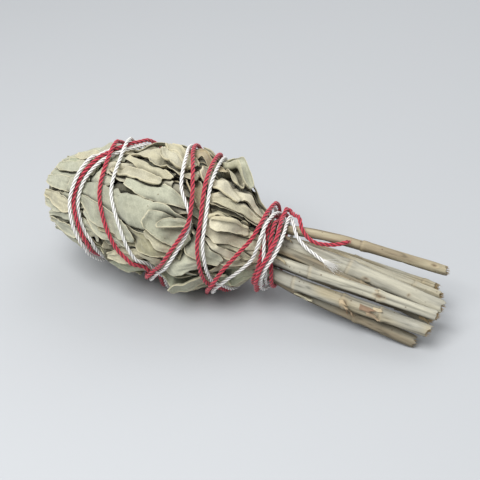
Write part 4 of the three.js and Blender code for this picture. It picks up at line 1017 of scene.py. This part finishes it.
# The leaves on the side where the cords cross, from the outermost inwards. Those without
# a solid of their own say where they lie: stalk end, tip and width.
FRONT_LEAVES = {
    "standing_leaf": {"tint": "pale", "level": 9.4, "top": 130, "low": 110, "from_top": 0.2,
                      "from_low": 0.1, "tip": 60, "blunt": 0.4, "widen": 1.3, "waves": 0.05},
    "standing_leaf_fold": {"lies": ((88, 92), (77, 124), 10), "tint": "tan", "level": 4.6, "top": 110,
                           "low": 80, "from_top": 0.1, "tip": 60, "blunt": 0.4},
    "beige_flap": {"lies": ((75, 37), (62, 28), 6), "tint": "grey", "level": 2.6, "top": 90, "low": 60,
                   "blunt": 0.5, "creases": ((0.2, 80),), "tip": 50},
    "round_leaf": {"lies": ((75, 19), (56, 33), 13), "tint": "grey", "level": 2.7, "top": 55, "low": 75,
                   "blunt": 0.33, "tip": 45, "torn": 0.3, "creases": ((-0.5, 40), (0.5, 45))},
    "round_leaf_fold": {"lies": ((72, 12), (58, 24), 8), "tint": "tan", "level": 2.5, "top": 120,
                        "low": 40, "blunt": 0.4, "tip": 30},
    "mid_strip": {"lies": ((53, 10), (20, 29), 9), "tint": "sage", "level": 2.3, "top": 40, "low": 30,
                  "rib": 0.2, "torn": 0.6},
    "olive_flap": {"lies": ((72, 8), (43, 15), 9), "tint": "olive", "level": 2.2, "top": 55, "low": -10,
                   "creases": ((0.35, 30),)},
    "broad_leaf": {"tint": "sage", "level": 1.7, "top": -38, "low": -30, "tip": -6, "rib": 0.2,
                   "pleats": 0.3, "from_top": 0.62, "from_low": 0.7,
                   "notches": ((1, 0.2, 0.05, 0.6), (-1, 0.55, 0.04, 0.3)), "blunt": 0.42, "buckle": 0.4,
                   "torn": 0.3, "widen": 0.85},
    "upper_cream": {"lies": ((57, 60), (31, 66), 8), "tint": "cream", "level": 1.3, "blunt": 0.42,
                    "top": 35, "low": 70, "pleats": 0.8, "creases": ((0.25, 55), (-0.4, -30))},
    "upper_crumple": {"lies": ((63, 80), (50, 92), 9), "tint": "cream", "level": 2.6, "top": 110,
                      "low": 90, "pleats": 1.0, "buckle": 1.0, "blunt": 0.4, "tip": 40},
    "neck_curl": {"lies": ((97, 56), (81, 44), 9), "tint": "straw", "level": 3.4, "top": 150, "low": 70,
                  "from_top": 0.1, "blunt": 0.36, "tip": 50},
    "shoulder_flap": {"lies": ((90, 78), (70, 84), 9), "tint": "straw", "level": 2.4, "top": 50,
                      "low": 110, "blunt": 0.45, "tip": 40, "creases": ((-0.3, 50),)},
    "spiked_leaf": {"lies": ((90, 6), (70, 26), 10), "tint": "pale", "level": 2.0, "top": 30, "low": 80,
                    "blunt": 0.4, "creases": ((0.3, 60),)},
    "belly_scroll": {"lies": ((93, -18), (70, -30), 10), "tint": "grey", "level": 2.4, "top": 120,
                     "low": 60, "blunt": 0.36, "tip": 50},
    "low_front_fold": {"lies": ((66, -2), (40, -14), 9), "tint": "tan", "level": 1.9, "top": 70,
                       "low": 50, "creases": ((-0.2, 55),), "torn": 0.5},
    "crumpled_top": {"lies": ((67, 88), (50, 105), 10), "tint": "tan", "level": 2.2, "top": 85,
                     "low": 100, "pleats": 0.9, "buckle": 0.9, "blunt": 0.4},
    "top_leaf": {"tint": "tan", "level": 1.6, "top": -20, "low": 40, "from_low": 0.6,
                 "creases": ((0.3, 35),)},
    "top_strip": {"lies": ((61, 66), (35, 82), 7), "tint": "tan", "level": 1.9, "top": 70, "low": 50,
                  "creases": ((-0.2, 60),)},
    "top_back_fold": {"lies": ((80, 98), (60, 106), 7), "tint": "brown", "level": 1.6, "top": 120,
                      "low": 70},
    "tip_small_1": {"lies": ((20, 40), (-1, 47), 7), "tint": "pale", "level": 2.4, "top": 50, "low": 60,
                    "tip": 30, "blunt": 0.42},
    "tip_small_2": {"lies": ((23, 63), (1, 74), 7), "tint": "grey", "level": 1.6, "top": 70, "low": 50,
                    "tip": 35, "blunt": 0.42},
    "tip_small_3": {"lies": ((27, 80), (9, 88), 7), "tint": "tan", "level": 1.0, "top": 70, "low": 70,
                    "tip": 40, "blunt": 0.42},
    "tip_small_4": {"lies": ((21, 17), (0, 23), 7), "tint": "tan", "level": 2.3, "top": 60, "low": 60,
                    "tip": 30, "blunt": 0.45},
    "tip_small_5": {"lies": ((24, -10), (5, -16), 7), "tint": "pale", "level": 1.9, "top": 70, "low": 40,
                    "tip": 30},
    "tip_lobe_1": {"lies": ((24, 28), (1, 12), 10), "tint": "pale", "level": 1.8, "top": 30, "low": 45,
                   "tip": 22, "blunt": 0.4},
    "tip_lobe_2": {"lies": ((23, 9), (5, -6), 9), "tint": "pale", "level": 1.5, "top": 40, "low": 50,
                   "tip": 25},
    "tip_lobe_3": {"lies": ((22, 50), (0, 62), 9), "tint": "grey", "level": 1.5, "top": 60, "low": 30,
                   "tip": 20},
    "tip_lobe_4": {"lies": ((24, 70), (2, 98), 10), "tint": "green", "level": -0.4, "top": 70, "low": 40,
                   "tip": 30},
    "tip_lobe_5": {"lies": ((25, -30), (7, -34), 9), "tint": "grey", "level": 1.2, "top": 60, "low": 30,
                   "tip": 25},
    "second_leaf": {"tint": "pale", "level": 0.9, "top": -15, "low": 35, "from_low": 0.65, "rib": 0.1,
                    "blunt": 0.5, "creases": ((0.4, 25),)},
    "tucked_round_leaf": {"tint": "pale", "level": 2.2, "top": 60, "low": 50, "blunt": 0.38, "tip": 50,
                          "stalk": 30, "notches": ((-1, 0.4, 0.1, 0.4),), "creases": ((-0.45, -50),)},
    "round_fold": {"lies": ((74, 17), (56, 26), 10), "tint": "grey", "level": 1.5, "top": 100, "low": 60,
                   "tip": 50, "blunt": 0.4},
    "mid_upper_leaf": {"lies": ((71, 51), (41, 55), 9), "tint": "grey", "level": 1.1, "top": 45,
                       "low": 15, "creases": ((-0.35, 40),)},
    "olive_leaf": {"tint": "olive", "level": 0.7, "top": 30, "low": -15, "rib": 0.2},
    "mid_low_strip": {"lies": ((50, 13), (22, 27), 7), "tint": "pale", "level": 0.9, "top": 30, "low": 70,
                      "creases": ((0.2, 50),)},
    "low_strip": {"lies": ((53, -2), (24, 15), 7), "tint": "pale", "level": 0.9, "top": 50, "low": 60},
    "curled_neck_leaf": {"tint": "straw", "level": 2.8, "top": 165, "low": 40, "from_top": 0.0,
                         "from_low": 0.5, "blunt": 0.4, "tip": 40, "widen": 1.25},
    "neck_fold_1": {"lies": ((85, 10), (69, 34), 8), "tint": "pale", "level": 1.7, "top": 60, "low": 90,
                    "creases": ((0.2, 70),)},
    "neck_fold_2": {"lies": ((97, 12), (80, 31), 6), "tint": "straw", "level": 1.6, "top": 90, "low": 70},
    "neck_fold_3": {"lies": ((103, 100), (78, 78), 6), "tint": "straw", "level": 1.8, "top": 80,
                    "low": 60, "creases": ((-0.3, 60),)},
    "neck_fold_4": {"lies": ((103, 80), (80, 62), 5), "tint": "tan", "level": 1.5, "top": 100, "low": 90},
    "neck_fold_5": {"lies": ((101, 14), (80, 41), 6), "tint": "tan", "level": 1.3, "top": 80, "low": 110},
    "neck_fold_6": {"lies": ((108, 19), (94, 19), 8), "tint": "straw", "level": 1.7, "top": 70, "low": 70,
                    "tip": 60, "blunt": 0.4},
    "neck_fold_7": {"lies": ((106, 36), (92, 48), 5), "tint": "straw", "level": 1.5, "top": 60,
                    "low": 90},
    "neck_leaf_upper": {"tint": "straw", "level": 0.9, "top": 50, "low": 20,
                        "creases": ((0.3, 45), (-0.5, 30))},
    "neck_leaf_middle": {"tint": "straw", "level": 0.8, "top": 35, "low": 45, "pleats": 0.6},
    "lower_sweep_leaf": {"tint": "pale", "level": 1.2, "top": -10, "low": 30, "rib": 0.15,
                         "creases": ((-0.3, 30),)},
    "belly_fold": {"lies": ((68, -24), (36, -34), 8), "tint": "green", "level": 1.5, "top": 80, "low": 40,
                   "creases": ((-0.3, 50),)},
    "belly_strip": {"lies": ((82, 8), (48, -5), 7), "tint": "tan", "level": 0.8, "top": 70, "low": 50},
    "belly_leaf": {"tint": "green", "level": 1.4, "top": 50, "low": 45, "blunt": 0.5,
                   "creases": ((0.25, 35),)},
    "belly_curl": {"lies": ((95, -30), (76, -22), 9), "tint": "green", "level": 1.8, "top": 110,
                   "low": 60, "blunt": 0.4, "tip": 40},
    "neck_belly_leaf": {"tint": "green", "level": 1.4, "top": 45, "low": 60, "blunt": 0.5,
                        "creases": ((-0.2, 45),)},
    "neck_lower_leaf": {"tint": "straw", "level": 0.7, "top": 40, "low": 55, "creases": ((0.1, 50),)},
    "side_sweep_leaf": {"tint": "pale", "level": 0.7, "top": 20, "low": 50},
    "fold_leaf_between_cords": {"tint": "brown", "level": 1.0, "top": 75, "low": 60, "pleats": 0.7,
                                "creases": ((0.1, 60),)},
    "cream_leaf": {"tint": "cream", "level": 0.6, "top": 25, "low": 60, "from_low": 0.5},
    "leaf_scrap": {"tint": "cream", "level": 0.6, "top": 60, "low": 20, "blunt": 0.5},
    "tip_leaf_front": {"tint": "pale", "level": 1.3, "top": -10, "low": 38, "tip": 14, "blunt": 0.42},
    "tip_leaf_upper": {"tint": "pale", "level": 1.0, "top": 35, "low": 40, "tip": 20, "blunt": 0.5},
    "tip_leaf_top": {"tint": "grey", "level": -0.9, "top": 45, "low": 40, "tip": 26, "blunt": 0.5},
    "tip_leaf_low": {"tint": "pale", "level": 0.8, "top": -10, "low": 50, "tip": 22, "blunt": 0.5},
    "tip_leaf_under": {"tint": "green", "level": 0.8, "top": 50, "low": 40, "tip": 24, "blunt": 0.5},
}
FRONT_SEEDS = (11, 13)    # each leaf's own random pattern: a first number and a step
FAR_SEEDS = (401, 17)
for number, (node, style) in enumerate(FRONT_LEAVES.items()):
    lay_named_leaf(node, style, FRONT_SEEDS[0] + FRONT_SEEDS[1] * number)

# The far side and the underside: three rings of plainer leaves.
rng = np.random.default_rng(21)
for number, node in enumerate(sorted(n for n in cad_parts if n.startswith("far_"))):
    style = {"tint": ["grey", "tan", "pale", "green"][number % 4], "level": rng.uniform(0.3, 1.4),
             "top": rng.uniform(-20, 60), "low": rng.uniform(-10, 60), "tip": rng.uniform(0, 30),
             "columns": 17, "blunt": rng.uniform(0.45, 0.75)}
    lay_named_leaf(node, style, FAR_SEEDS[0] + FAR_SEEDS[1] * number)

# ---------------------------------------------------------------- packed inner leaves
# Under the outer leaves lie many more, older and browner ones, folded and pressed into
# each other; their finish is darkened all over with painted shade. They show in the gaps as rims, folds
# and dark hollows.
# Painted shade: the inner leaves' finish is 0.62 times as bright as the outer one.
shaded_inner_velvet = leaf_finish("shaded_inner_leaf_velvet", 0.62, (0.56, 0.50, 0.33))
INNER_GROUPS = (
    # name, stations of the stalk ends and of the tips, how many, lengths, widths, deepest
    ("inner_tips", (24, 40), (-1, 9), 30, (22, 34), (7, 12), 3.5),
    ("inner_middle_leaves", (60, 86), (22, 52), 52, (22, 38), (6, 13), 2.5),
    ("inner_neck_leaves", (96, 110), (66, 84), 34, (20, 34), (5, 10), 1.5),
)
TINTS = ["grey", "tan", "green", "olive", "cream", "brown", "tan", "grey"]
GOLDEN_ANGLE = 137.5      # from one leaf to the next, so that they spread all round
rng = np.random.default_rng(5)
for name, stalks, tips, count, lengths, widths, deepest in INNER_GROUPS:
    parts = []
    for k in range(count):
        angle = (k * GOLDEN_ANGLE + rng.uniform(-9, 9)) % 360
        tip = rng.uniform(*tips)
        stalk = np.clip(tip + rng.uniform(*lengths), *stalks)
        style = {"tint": TINTS[int(rng.integers(len(TINTS)))], "level": rng.uniform(-0.6, 1.2),
                 "top": rng.uniform(-25, 95), "low": rng.uniform(-25, 95), "tip": rng.uniform(-5, 45),
                 "blunt": rng.uniform(0.4, 0.8), "pleats": rng.uniform(0.25, 0.6),
                 "drop": rng.uniform(0, deepest) * k / count, "waves": 0.2,
                 "creases": ((rng.uniform(-0.5, 0.5), rng.uniform(-60, 70)),), "columns": 13, "rows": 30}
        ends = (stalk, angle), (tip, angle + rng.uniform(-16, 16))
        parts.append(build_leaf(*ends, rng.uniform(*widths), style, 1009 + 31 * k + count))
    points, faces, tint, edge, uv = join_sheets(parts)
    piece = make_piece(name, points, faces, shaded_inner_velvet, tint, edge, uv)
    fix_to_bundle(piece, "packed_leaves")


def close_tube(rings):
    """Rings of points, one after another, as one closed skin with a hub at either end: its
    points, then its quads and triangles."""
    grid = np.arange(rings.shape[0] * rings.shape[1]).reshape(rings.shape[:2])
    beside = np.roll(grid, -1, axis=1)
    walls = np.stack([grid[:-1], grid[1:], beside[1:], beside[:-1]], -1).reshape(-1, 4)
    first_hub, last_hub = (np.full(grid.shape[1], grid.size + k) for k in (0, 1))
    ends = np.concatenate([np.stack([beside[0], first_hub, grid[0]], -1),
                           np.stack([grid[-1], last_hub, beside[-1]], -1)])
    return np.concatenate([rings.reshape(-1, 3), rings[:1].mean(1), rings[-1:].mean(1)]), [walls, ends]


# The crumbled heart that fills what is left under them.
HEART_ENDS = (-3, 104)
grid_s, grid_a = np.meshgrid(np.linspace(*HEART_ENDS, 130), np.linspace(0, 360, 120, endpoint=False),
                             indexing="ij")
depth = blur(np.pad(room_at(grid_s, grid_a), ((0, 0), (4, 4)), mode="wrap"), 3)[:, 4:-4] - 0.8
crumple = np.stack([grid_s, np.cos(np.radians(grid_a)) * 20, np.sin(np.radians(grid_a)) * 20], -1)
depth = depth - 1.2 * np.abs(mottle(crumple, 4.0, 3)) - 0.5 * np.abs(mottle(crumple, 1.7, 4))
ends = smooth_step((grid_s - HEART_ENDS[0]) / 9) * smooth_step((HEART_ENDS[1] - grid_s) / 6)
depth = np.maximum(depth, 1.0) * (0.25 + 0.75 * ends)
points, faces = close_tube(bundle_point(grid_s, grid_a, depth))
# Painted shade: the heart's olive is darkened to 0.62 of it, with random tone on top, as deep in the
# hollows.
tint = np.array(COLOURS["olive"]) * (0.62 + 0.25 * mottle(points, 3.0, 8)[:, None])
leaf_heart = make_piece("leaf_heart", points, faces, shaded_inner_velvet, tint, edge=9, smooth=False)
leaf_heart.data.uv_layers.new(name="UVMap")
fix_to_bundle(leaf_heart, "packed_leaves")

# ---------------------------------------------------------------- stems
# Cut stems of white sage: woody, grey and beige, faintly four-sided, with long shallow
# grooves, swollen leaf joints that carry eye-shaped scars, and rough fibrous cut ends.
AXIS = np.array([math.cos(AXIS_FALL), 0, -math.sin(AXIS_FALL)])
BARK = {
    "grey": (0.39, 0.375, 0.31), "pale": (0.50, 0.475, 0.375), "beige": (0.43, 0.375, 0.255),
    "brown": (0.29, 0.235, 0.155), "dull": (0.27, 0.25, 0.19), "wood": (0.52, 0.42, 0.26),
}


def stem_line(name, short):
    """The solid's centreline and radius, as a function of the run along the bundle, or
    of the run along itself for a short bit."""
    corners = solid_points(name)
    start, axis = AXIS_START, AXIS
    if short:
        start = corners.mean(axis=0)
        axis = np.linalg.svd(corners - start, full_matrices=False)[2][0]
        axis = axis * np.sign(axis[0])
    run = (corners - start) @ axis
    first, last = run.min(), run.max()
    reach = (last - first) / (6 if short else 14)

    def fitted(values, s):
        """A line fitted to the values near each place, and read off at it."""
        offset = run[None] - s[:, None]
        weight = np.exp(-(offset / reach) ** 2)
        total, tilt, spread = weight.sum(1), (weight * offset).sum(1), (weight * offset ** 2).sum(1)
        mean, slope = weight @ values, (weight * offset) @ values
        return (spread * mean.T - tilt * slope.T).T / (total * spread - tilt ** 2)[:, None]

    def centre(s):
        return fitted(corners, s)

    out = corners - centre(run)
    thick = np.linalg.norm(out - (out @ axis)[:, None] * axis, axis=1)

    def radius(s):
        return fitted(thick[:, None], s)[:, 0]

    return first, last, centre, radius


def stem_finish():
    """Dry bark and wood: streaks and fine fibres along the stem, small dark specks."""
    finish, tree = make_finish("dry_stem", 0.78, 0.28)
    where = add_node(tree, "ShaderNodeTexCoord").outputs
    colour, relief = stored(tree, "tint", "Color"), 0.0
    for scale, stretch, low in ((9.0, (1.6, 40, 1), 0.86), (30.0, (1.1, 34, 1), 0.88)):
        streak = noise(tree, stretched(tree, where["UV"], stretch), scale, 5, 0.62)
        colour = tone(tree, colour, streak, low, 1.09)
        relief = maths(tree, "ADD", streak, relief)
    colour = speckle(tree, colour, where["Object"], 420, (0.10, 0.2), (0.76, 0.8, 0.0, 0.75),
                     (0.12, 0.08, 0.05, 1))
    coat(tree, colour, relief, 0.7, 0.00022)
    return finish


dry_stem = stem_finish()
frayed = []               # roots and ends of the fibres that stand out of the cut ends
END_FIBRES = 34
SEAM = math.radians(40)   # where round a stem its rings of points begin, below its far side
SPLINTER_WIDTH = 0.3
EYE_HEART = (0.16, 0.105, 0.06)
CAP_SHARES = (0.90, 0.78, 0.6, 0.42, 0.26, 0.12)
# A stem, unless its own look says otherwise: its colours, how deep its pith is hollowed,
# how square it is, and from which station on it is finely shaped.
PLAIN_STEM = {"bark": "grey", "patches": "beige", "joints": (), "eyes": (), "hollow": 0.8, "splinters": 2,
              "square": 0.035, "sides": 36, "spacing": 0.55, "from": 96.0, "short": False,
              "thicker": 0.97}


def towards(tint, colour, share):
    """Tints taken this far towards one colour."""
    return tint * (1 - share) + np.array(colour) * share


def build_stem(name, look, seed):
    """One stem along its solid. Joints and eyes are given by their distance back from the
    cut end, and eyes also by the angle they face."""
    how = {**PLAIN_STEM, **look}
    first, last, centre, radius = stem_line(name, how["short"])
    inner = np.arange(first + 0.3, how["from"], 3.0)
    outer = np.arange(max(how["from"], first + 0.2), last - 0.1, how["spacing"])
    run = np.concatenate([inner, outer, [last - 0.02]])
    sides = how["sides"]
    turn = -0.5 * np.pi + np.arange(sides) / sides * 2 * np.pi - SEAM
    s = run[:, None] * np.ones((1, sides))
    thick = np.maximum(radius(run), 0.3)[:, None] * how["thicker"]

    rng = np.random.default_rng(seed)
    twist = 0.35 * mottle(s[..., None], 30.0, seed)
    around = np.stack([s / 13, thick * np.cos(turn), thick * np.sin(turn)], -1)
    shape = 1 + how["square"] * np.cos(4 * (turn[None] + twist) + seed)
    streak = mottle(around, 1.1, seed + 1)
    ridge = mottle(around * np.array([1.4, 1, 1]), 0.55, seed + 2)
    groove = np.clip(1 - np.abs(mottle(around * np.array([0.8, 1, 1]), 2.2, seed + 3)) / 0.07, 0, 1)
    fibrous = min(1.0, float(thick.max()) / 2)
    size = thick * shape + fibrous * (0.10 * streak + 0.05 * ridge - 0.22 * groove)
    size = size + 0.10 * mottle(around * np.array([5.0, 1, 1]), 2.5, seed + 4) * fibrous
    share = smooth_step(0.5 + 0.9 * mottle(around * np.array([1.3, 0.4, 0.4]), 1.3, seed + 5))[..., None]
    tint = towards(np.array(BARK[how["bark"]]), BARK[how["patches"]], share)
    tint = tint * (1 + 0.14 * streak[..., None] + 0.12 * ridge[..., None])
    # Painted shade in the long grooves, besides their real dip in the shape.
    tint = tint * (1 - 0.45 * groove[..., None])
    # Painted shade: the lower side of each stem is darker.
    underside_shade = smooth_step(0.1 - np.sin(turn))[None, :, None]
    tint = tint * (1 - 0.6 * underside_shade)
    for back in how["joints"]:
        far = s - (last - back) - 0.5 * np.sin(turn + seed)
        size = size + 0.13 * thick * np.exp(-(far / 1.7) ** 2)
        size = size + 0.20 * np.exp(-((far + 0.9) / 0.30) ** 2) - 0.13 * np.exp(-((far + 1.6) / 0.4) ** 2)
        ring = np.exp(-((far + 1.45) / 0.33) ** 2)[..., None]
        tint = towards(tint, np.array(BARK["brown"]) * 0.55, 0.5 * ring)
        pale = np.exp(-((far + 0.5) / 0.6) ** 2)[..., None]
        tint = towards(tint, BARK["wood"], 0.3 * pale)
    for back, facing, long, wide in how["eyes"]:
        aside = (turn - math.radians(facing) + np.pi) % (2 * np.pi) - np.pi
        far = np.hypot((s - (last - back)) / long, aside[None] * thick / wide)
        size = size + 0.30 * np.exp(-((far - 1) / 0.28) ** 2) - 0.32 * np.exp(-(far / 0.7) ** 2)
        lip = np.exp(-((far - 1) / 0.3) ** 2)[..., None]
        tint = towards(tint, BARK["wood"], 0.35 * lip)
        heart = np.exp(-(far / 0.62) ** 2)[..., None]
        tint = towards(tint, EYE_HEART, heart)

    # The cut end: uneven, with a few splinters standing out of it.
    ragged = 0.4 * mottle(np.stack([np.cos(turn), np.sin(turn)], -1) * thick[-1], 1.0, seed + 6)
    for _ in range(how["splinters"]):
        away = (turn - rng.uniform(0, 2 * np.pi) + np.pi) % (2 * np.pi) - np.pi
        ragged = ragged + rng.uniform(0.5, 1.3) * np.exp(-(away / SPLINTER_WIDTH) ** 2)
    slant = rng.uniform(-0.35, 0.35) * thick[-1] * np.cos(turn - rng.uniform(0, 6))
    s = s + (ragged + slant - 0.5)[None] * smooth_step((s - (last - 3.5)) / 3.5)
    size = size * (1 - 0.05 * smooth_step((s - (last - 1.2)) / 1.2))

    ends = centre(run)
    tangent = np.gradient(ends, axis=0)
    tangent /= np.linalg.norm(tangent, axis=1, keepdims=True)
    level = np.array([0, 1, 0]) - tangent * tangent[:, 1:2]
    level /= np.linalg.norm(level, axis=1, keepdims=True)
    up = np.cross(tangent, level)

    def place(rows, stations, sizes):
        """Rings of points square to the stem: which rows, how far along and how far out."""
        out = up[rows][:, None] * np.sin(turn)[:, None] - level[rows][:, None] * np.cos(turn)[:, None]
        ahead = tangent[rows][:, None] * (stations - run[rows][:, None])[..., None]
        return ends[rows][:, None] + out * sizes[..., None] + ahead

    body = place(np.arange(len(run)), s, size)
    for _ in range(0 if how["short"] else END_FIBRES):
        k = rng.integers(sides)
        root = body[-1, k] + (ends[-1] - body[-1, k]) * rng.uniform(0.02, 0.8)
        reach = tangent[-1] * rng.uniform(0.2, 1.5)
        frayed.append((root - tangent[-1] * 0.4, root + reach + rng.normal(0, 0.22, 3)))

    # Rings of wood across the cut end, the middle ones sunk into the pith and darkened with painted
    # shade.
    caps, cap_tints = [], []
    for k, part in enumerate(CAP_SHARES):
        across = np.stack([np.cos(turn), np.sin(turn)], -1) * part * 9
        rough = 0.3 * mottle(across, 1.3, seed + 7 + k)
        deep = -0.25 - how["hollow"] * smooth_step((0.55 - part) / 0.35)
        at = s[-1] * part + (last - 0.5) * (1 - part) + (deep + rough)
        caps.append(place(np.array([-1]), at[None], (size[-1] * part)[None])[0])
        # Painted shade: darker the deeper the pith is hollowed.
        pith_shade = 0.6 * smooth_step((0.45 - part) / 0.3) * min(1.0, how["hollow"] / 1.5)
        cap_tints.append(np.array(BARK["wood"]) * np.clip(1 - pith_shade + 0.25 * rough[:, None], 0.2, 1.2))
    start = place(np.array([0]), s[:1], size[:1] * 0.3)[0]
    rows = np.concatenate([start[None], body, np.array(caps)])
    tints = np.concatenate([tint[:1], tint, np.array(cap_tints)])
    points, faces = close_tube(rows)
    # The hub at the middle of the cut end is darker too: painted shade.
    tints = np.concatenate([tints.reshape(-1, 3), tints[0, :1], tints[-1, :1] * 0.6])

    # The bark's pattern runs along the stem, and is mirrored round it so that no seam shows.
    mirrored = np.abs(((turn + 0.5 * np.pi + SEAM) / np.pi + 1) % 2 - 1) * 8
    lengthwise = np.vstack([s[:1], s, np.tile(s[-1:], (len(caps), 1))])
    uv = np.stack(np.broadcast_arrays(lengthwise, mirrored), -1)
    uv = np.concatenate([uv.reshape(-1, 2), [[0, 0], [last, 4]]]) / 100
    piece = make_piece(name + "_bark", points, faces, dry_stem, np.clip(tints, 0.01, 0.95), uv=uv)
    fix_to_bundle(piece, name)


STEM_LOOKS = {
    "stem_top": {"bark": "beige", "patches": "brown", "joints": (37,), "eyes": ((6, 60, 1.9, 1.0),),
                 "splinters": 3},
    "stem_far": {"bark": "beige", "patches": "pale", "joints": (5.5, 38), "eyes": ((33, 50, 1.1, 0.7),)},
    "stem_hidden": {"bark": "pale", "patches": "beige", "joints": (12,)},
    "stem_thick": {"bark": "pale", "patches": "grey", "joints": (43,), "square": 0.045, "hollow": 1.2,
                   "thicker": 1.09, "eyes": ((34.5, 10, 1.7, 0.9), (15, 25, 0.8, 0.8))},
    "stem_brown": {"bark": "brown", "patches": "dull", "joints": (33,), "splinters": 4, "square": 0.06},
    "stem_front": {"bark": "grey", "patches": "pale", "joints": (57, 26), "eyes": ((26, 32, 2.6, 1.2),),
                   "hollow": 0.6},
    "stem_torn": {"bark": "grey", "patches": "beige", "joints": (61, 38, 21),
                  "eyes": ((38, 30, 2.2, 1.5),), "splinters": 4, "hollow": 1.0},
    "stem_low": {"bark": "dull", "patches": "brown", "joints": (27,), "splinters": 5, "hollow": 3.0},
    "stem_back_low": {"bark": "grey", "patches": "brown", "joints": (45, 15)},
    "stem_core": {"bark": "dull", "patches": "grey", "joints": (20,), "hollow": 1.4},
    "petiole_stub": {"bark": "wood", "patches": "beige", "sides": 14, "spacing": 0.3, "from": -90.0,
                     "hollow": 0.2, "splinters": 1, "short": True},
    "broken_twig": {"bark": "wood", "patches": "brown", "sides": 16, "spacing": 0.3, "from": -90.0,
                    "hollow": 0.2, "splinters": 2, "square": 0.10, "short": True},
}
for number, (name, look) in enumerate(STEM_LOOKS.items()):
    build_stem(name, look, 61 + 7 * number)

torn_wood, tree = make_finish("torn_wood", 0.8, 0.2)
coat(tree, (0.42, 0.31, 0.17))
rng = np.random.default_rng(91)
roots, ends = np.array(frayed).swapaxes(0, 1)
fix_to_bundle(make_fibres("stem_end_fibres", roots, ends, 0.3, torn_wood, rng, 0.08))

PEEL_ROWS, PEEL_COLUMNS = 14, 9
PEEL_THICKNESS = 0.16


def build_peel(stem, back, facing, long, wide, curl, tint, seed):
    """A strip of torn bark: fast at one end, lifting and rolling back at the other."""
    _, last, centre, radius = stem_line(stem, False)
    u, v = np.meshgrid(np.linspace(0, 1, PEEL_ROWS), np.linspace(-1, 1, PEEL_COLUMNS), indexing="ij")
    reach = long * (1 + 0.35 * mottle(np.stack([v * wide, v * 0], -1), 0.9, seed))
    pitch = math.radians(curl) * u ** 1.6
    ahead = np.cumsum(np.cos(pitch), axis=0) * reach / (PEEL_ROWS - 1)
    lift = np.cumsum(np.sin(pitch), axis=0) * reach / (PEEL_ROWS - 1)
    run = last - back + ahead
    ends = centre(run.ravel()).reshape(*run.shape, 3)
    bark = radius(run.ravel()).reshape(run.shape)
    turn = math.radians(facing) + v * wide / 2 * (1 - 0.35 * u) / bark
    lean = np.array([-math.sin(AXIS_FALL), 0, math.cos(AXIS_FALL)])
    out = lean * np.sin(turn)[..., None] - np.array([0, 1, 0]) * np.cos(turn)[..., None]
    height = bark * 1.02 + 0.12 + lift + 0.15 * mottle(np.stack([u * long, v * wide], -1), 1.1, seed + 1)
    top = ends + out * height[..., None]
    points, faces = close_sheet(top, top - out * PEEL_THICKNESS)
    shade = 1 + 0.25 * mottle(points, 1.0, seed + 2)[:, None]
    return points, faces, np.array(tint) * shade


# Which stem, how far back from its cut end, the side it faces, length, width, how far it
# curls, colour and random pattern.
PEELS = [
    ("stem_torn", 40, 20, 4.5, 3.4, 70, (0.50, 0.40, 0.26), 3),
    ("stem_torn", 39, -15, 4.0, 2.6, 95, (0.30, 0.21, 0.135), 5),
    ("stem_torn", 37, -50, 3.6, 3.0, 80, (0.40, 0.30, 0.195), 7),
    ("stem_torn", 31, 40, 6.5, 2.6, 25, (0.26, 0.175, 0.115), 9),
    ("stem_torn", 28, 5, 6.0, 2.2, 35, (0.40, 0.31, 0.205), 11),
    ("stem_torn", 25, 62, 4.0, 1.8, 50, (0.50, 0.42, 0.28), 13),
    ("stem_brown", 5, 30, 5.5, 1.4, 55, (0.48, 0.36, 0.20), 15),
    ("stem_front", 28, 70, 2.4, 2.0, 45, (0.40, 0.34, 0.24), 17),
]
points, faces, tint = join_sheets([build_peel(*peel) for peel in PEELS])
fix_to_bundle(make_piece("torn_bark_strips", points, faces, dry_stem, tint))
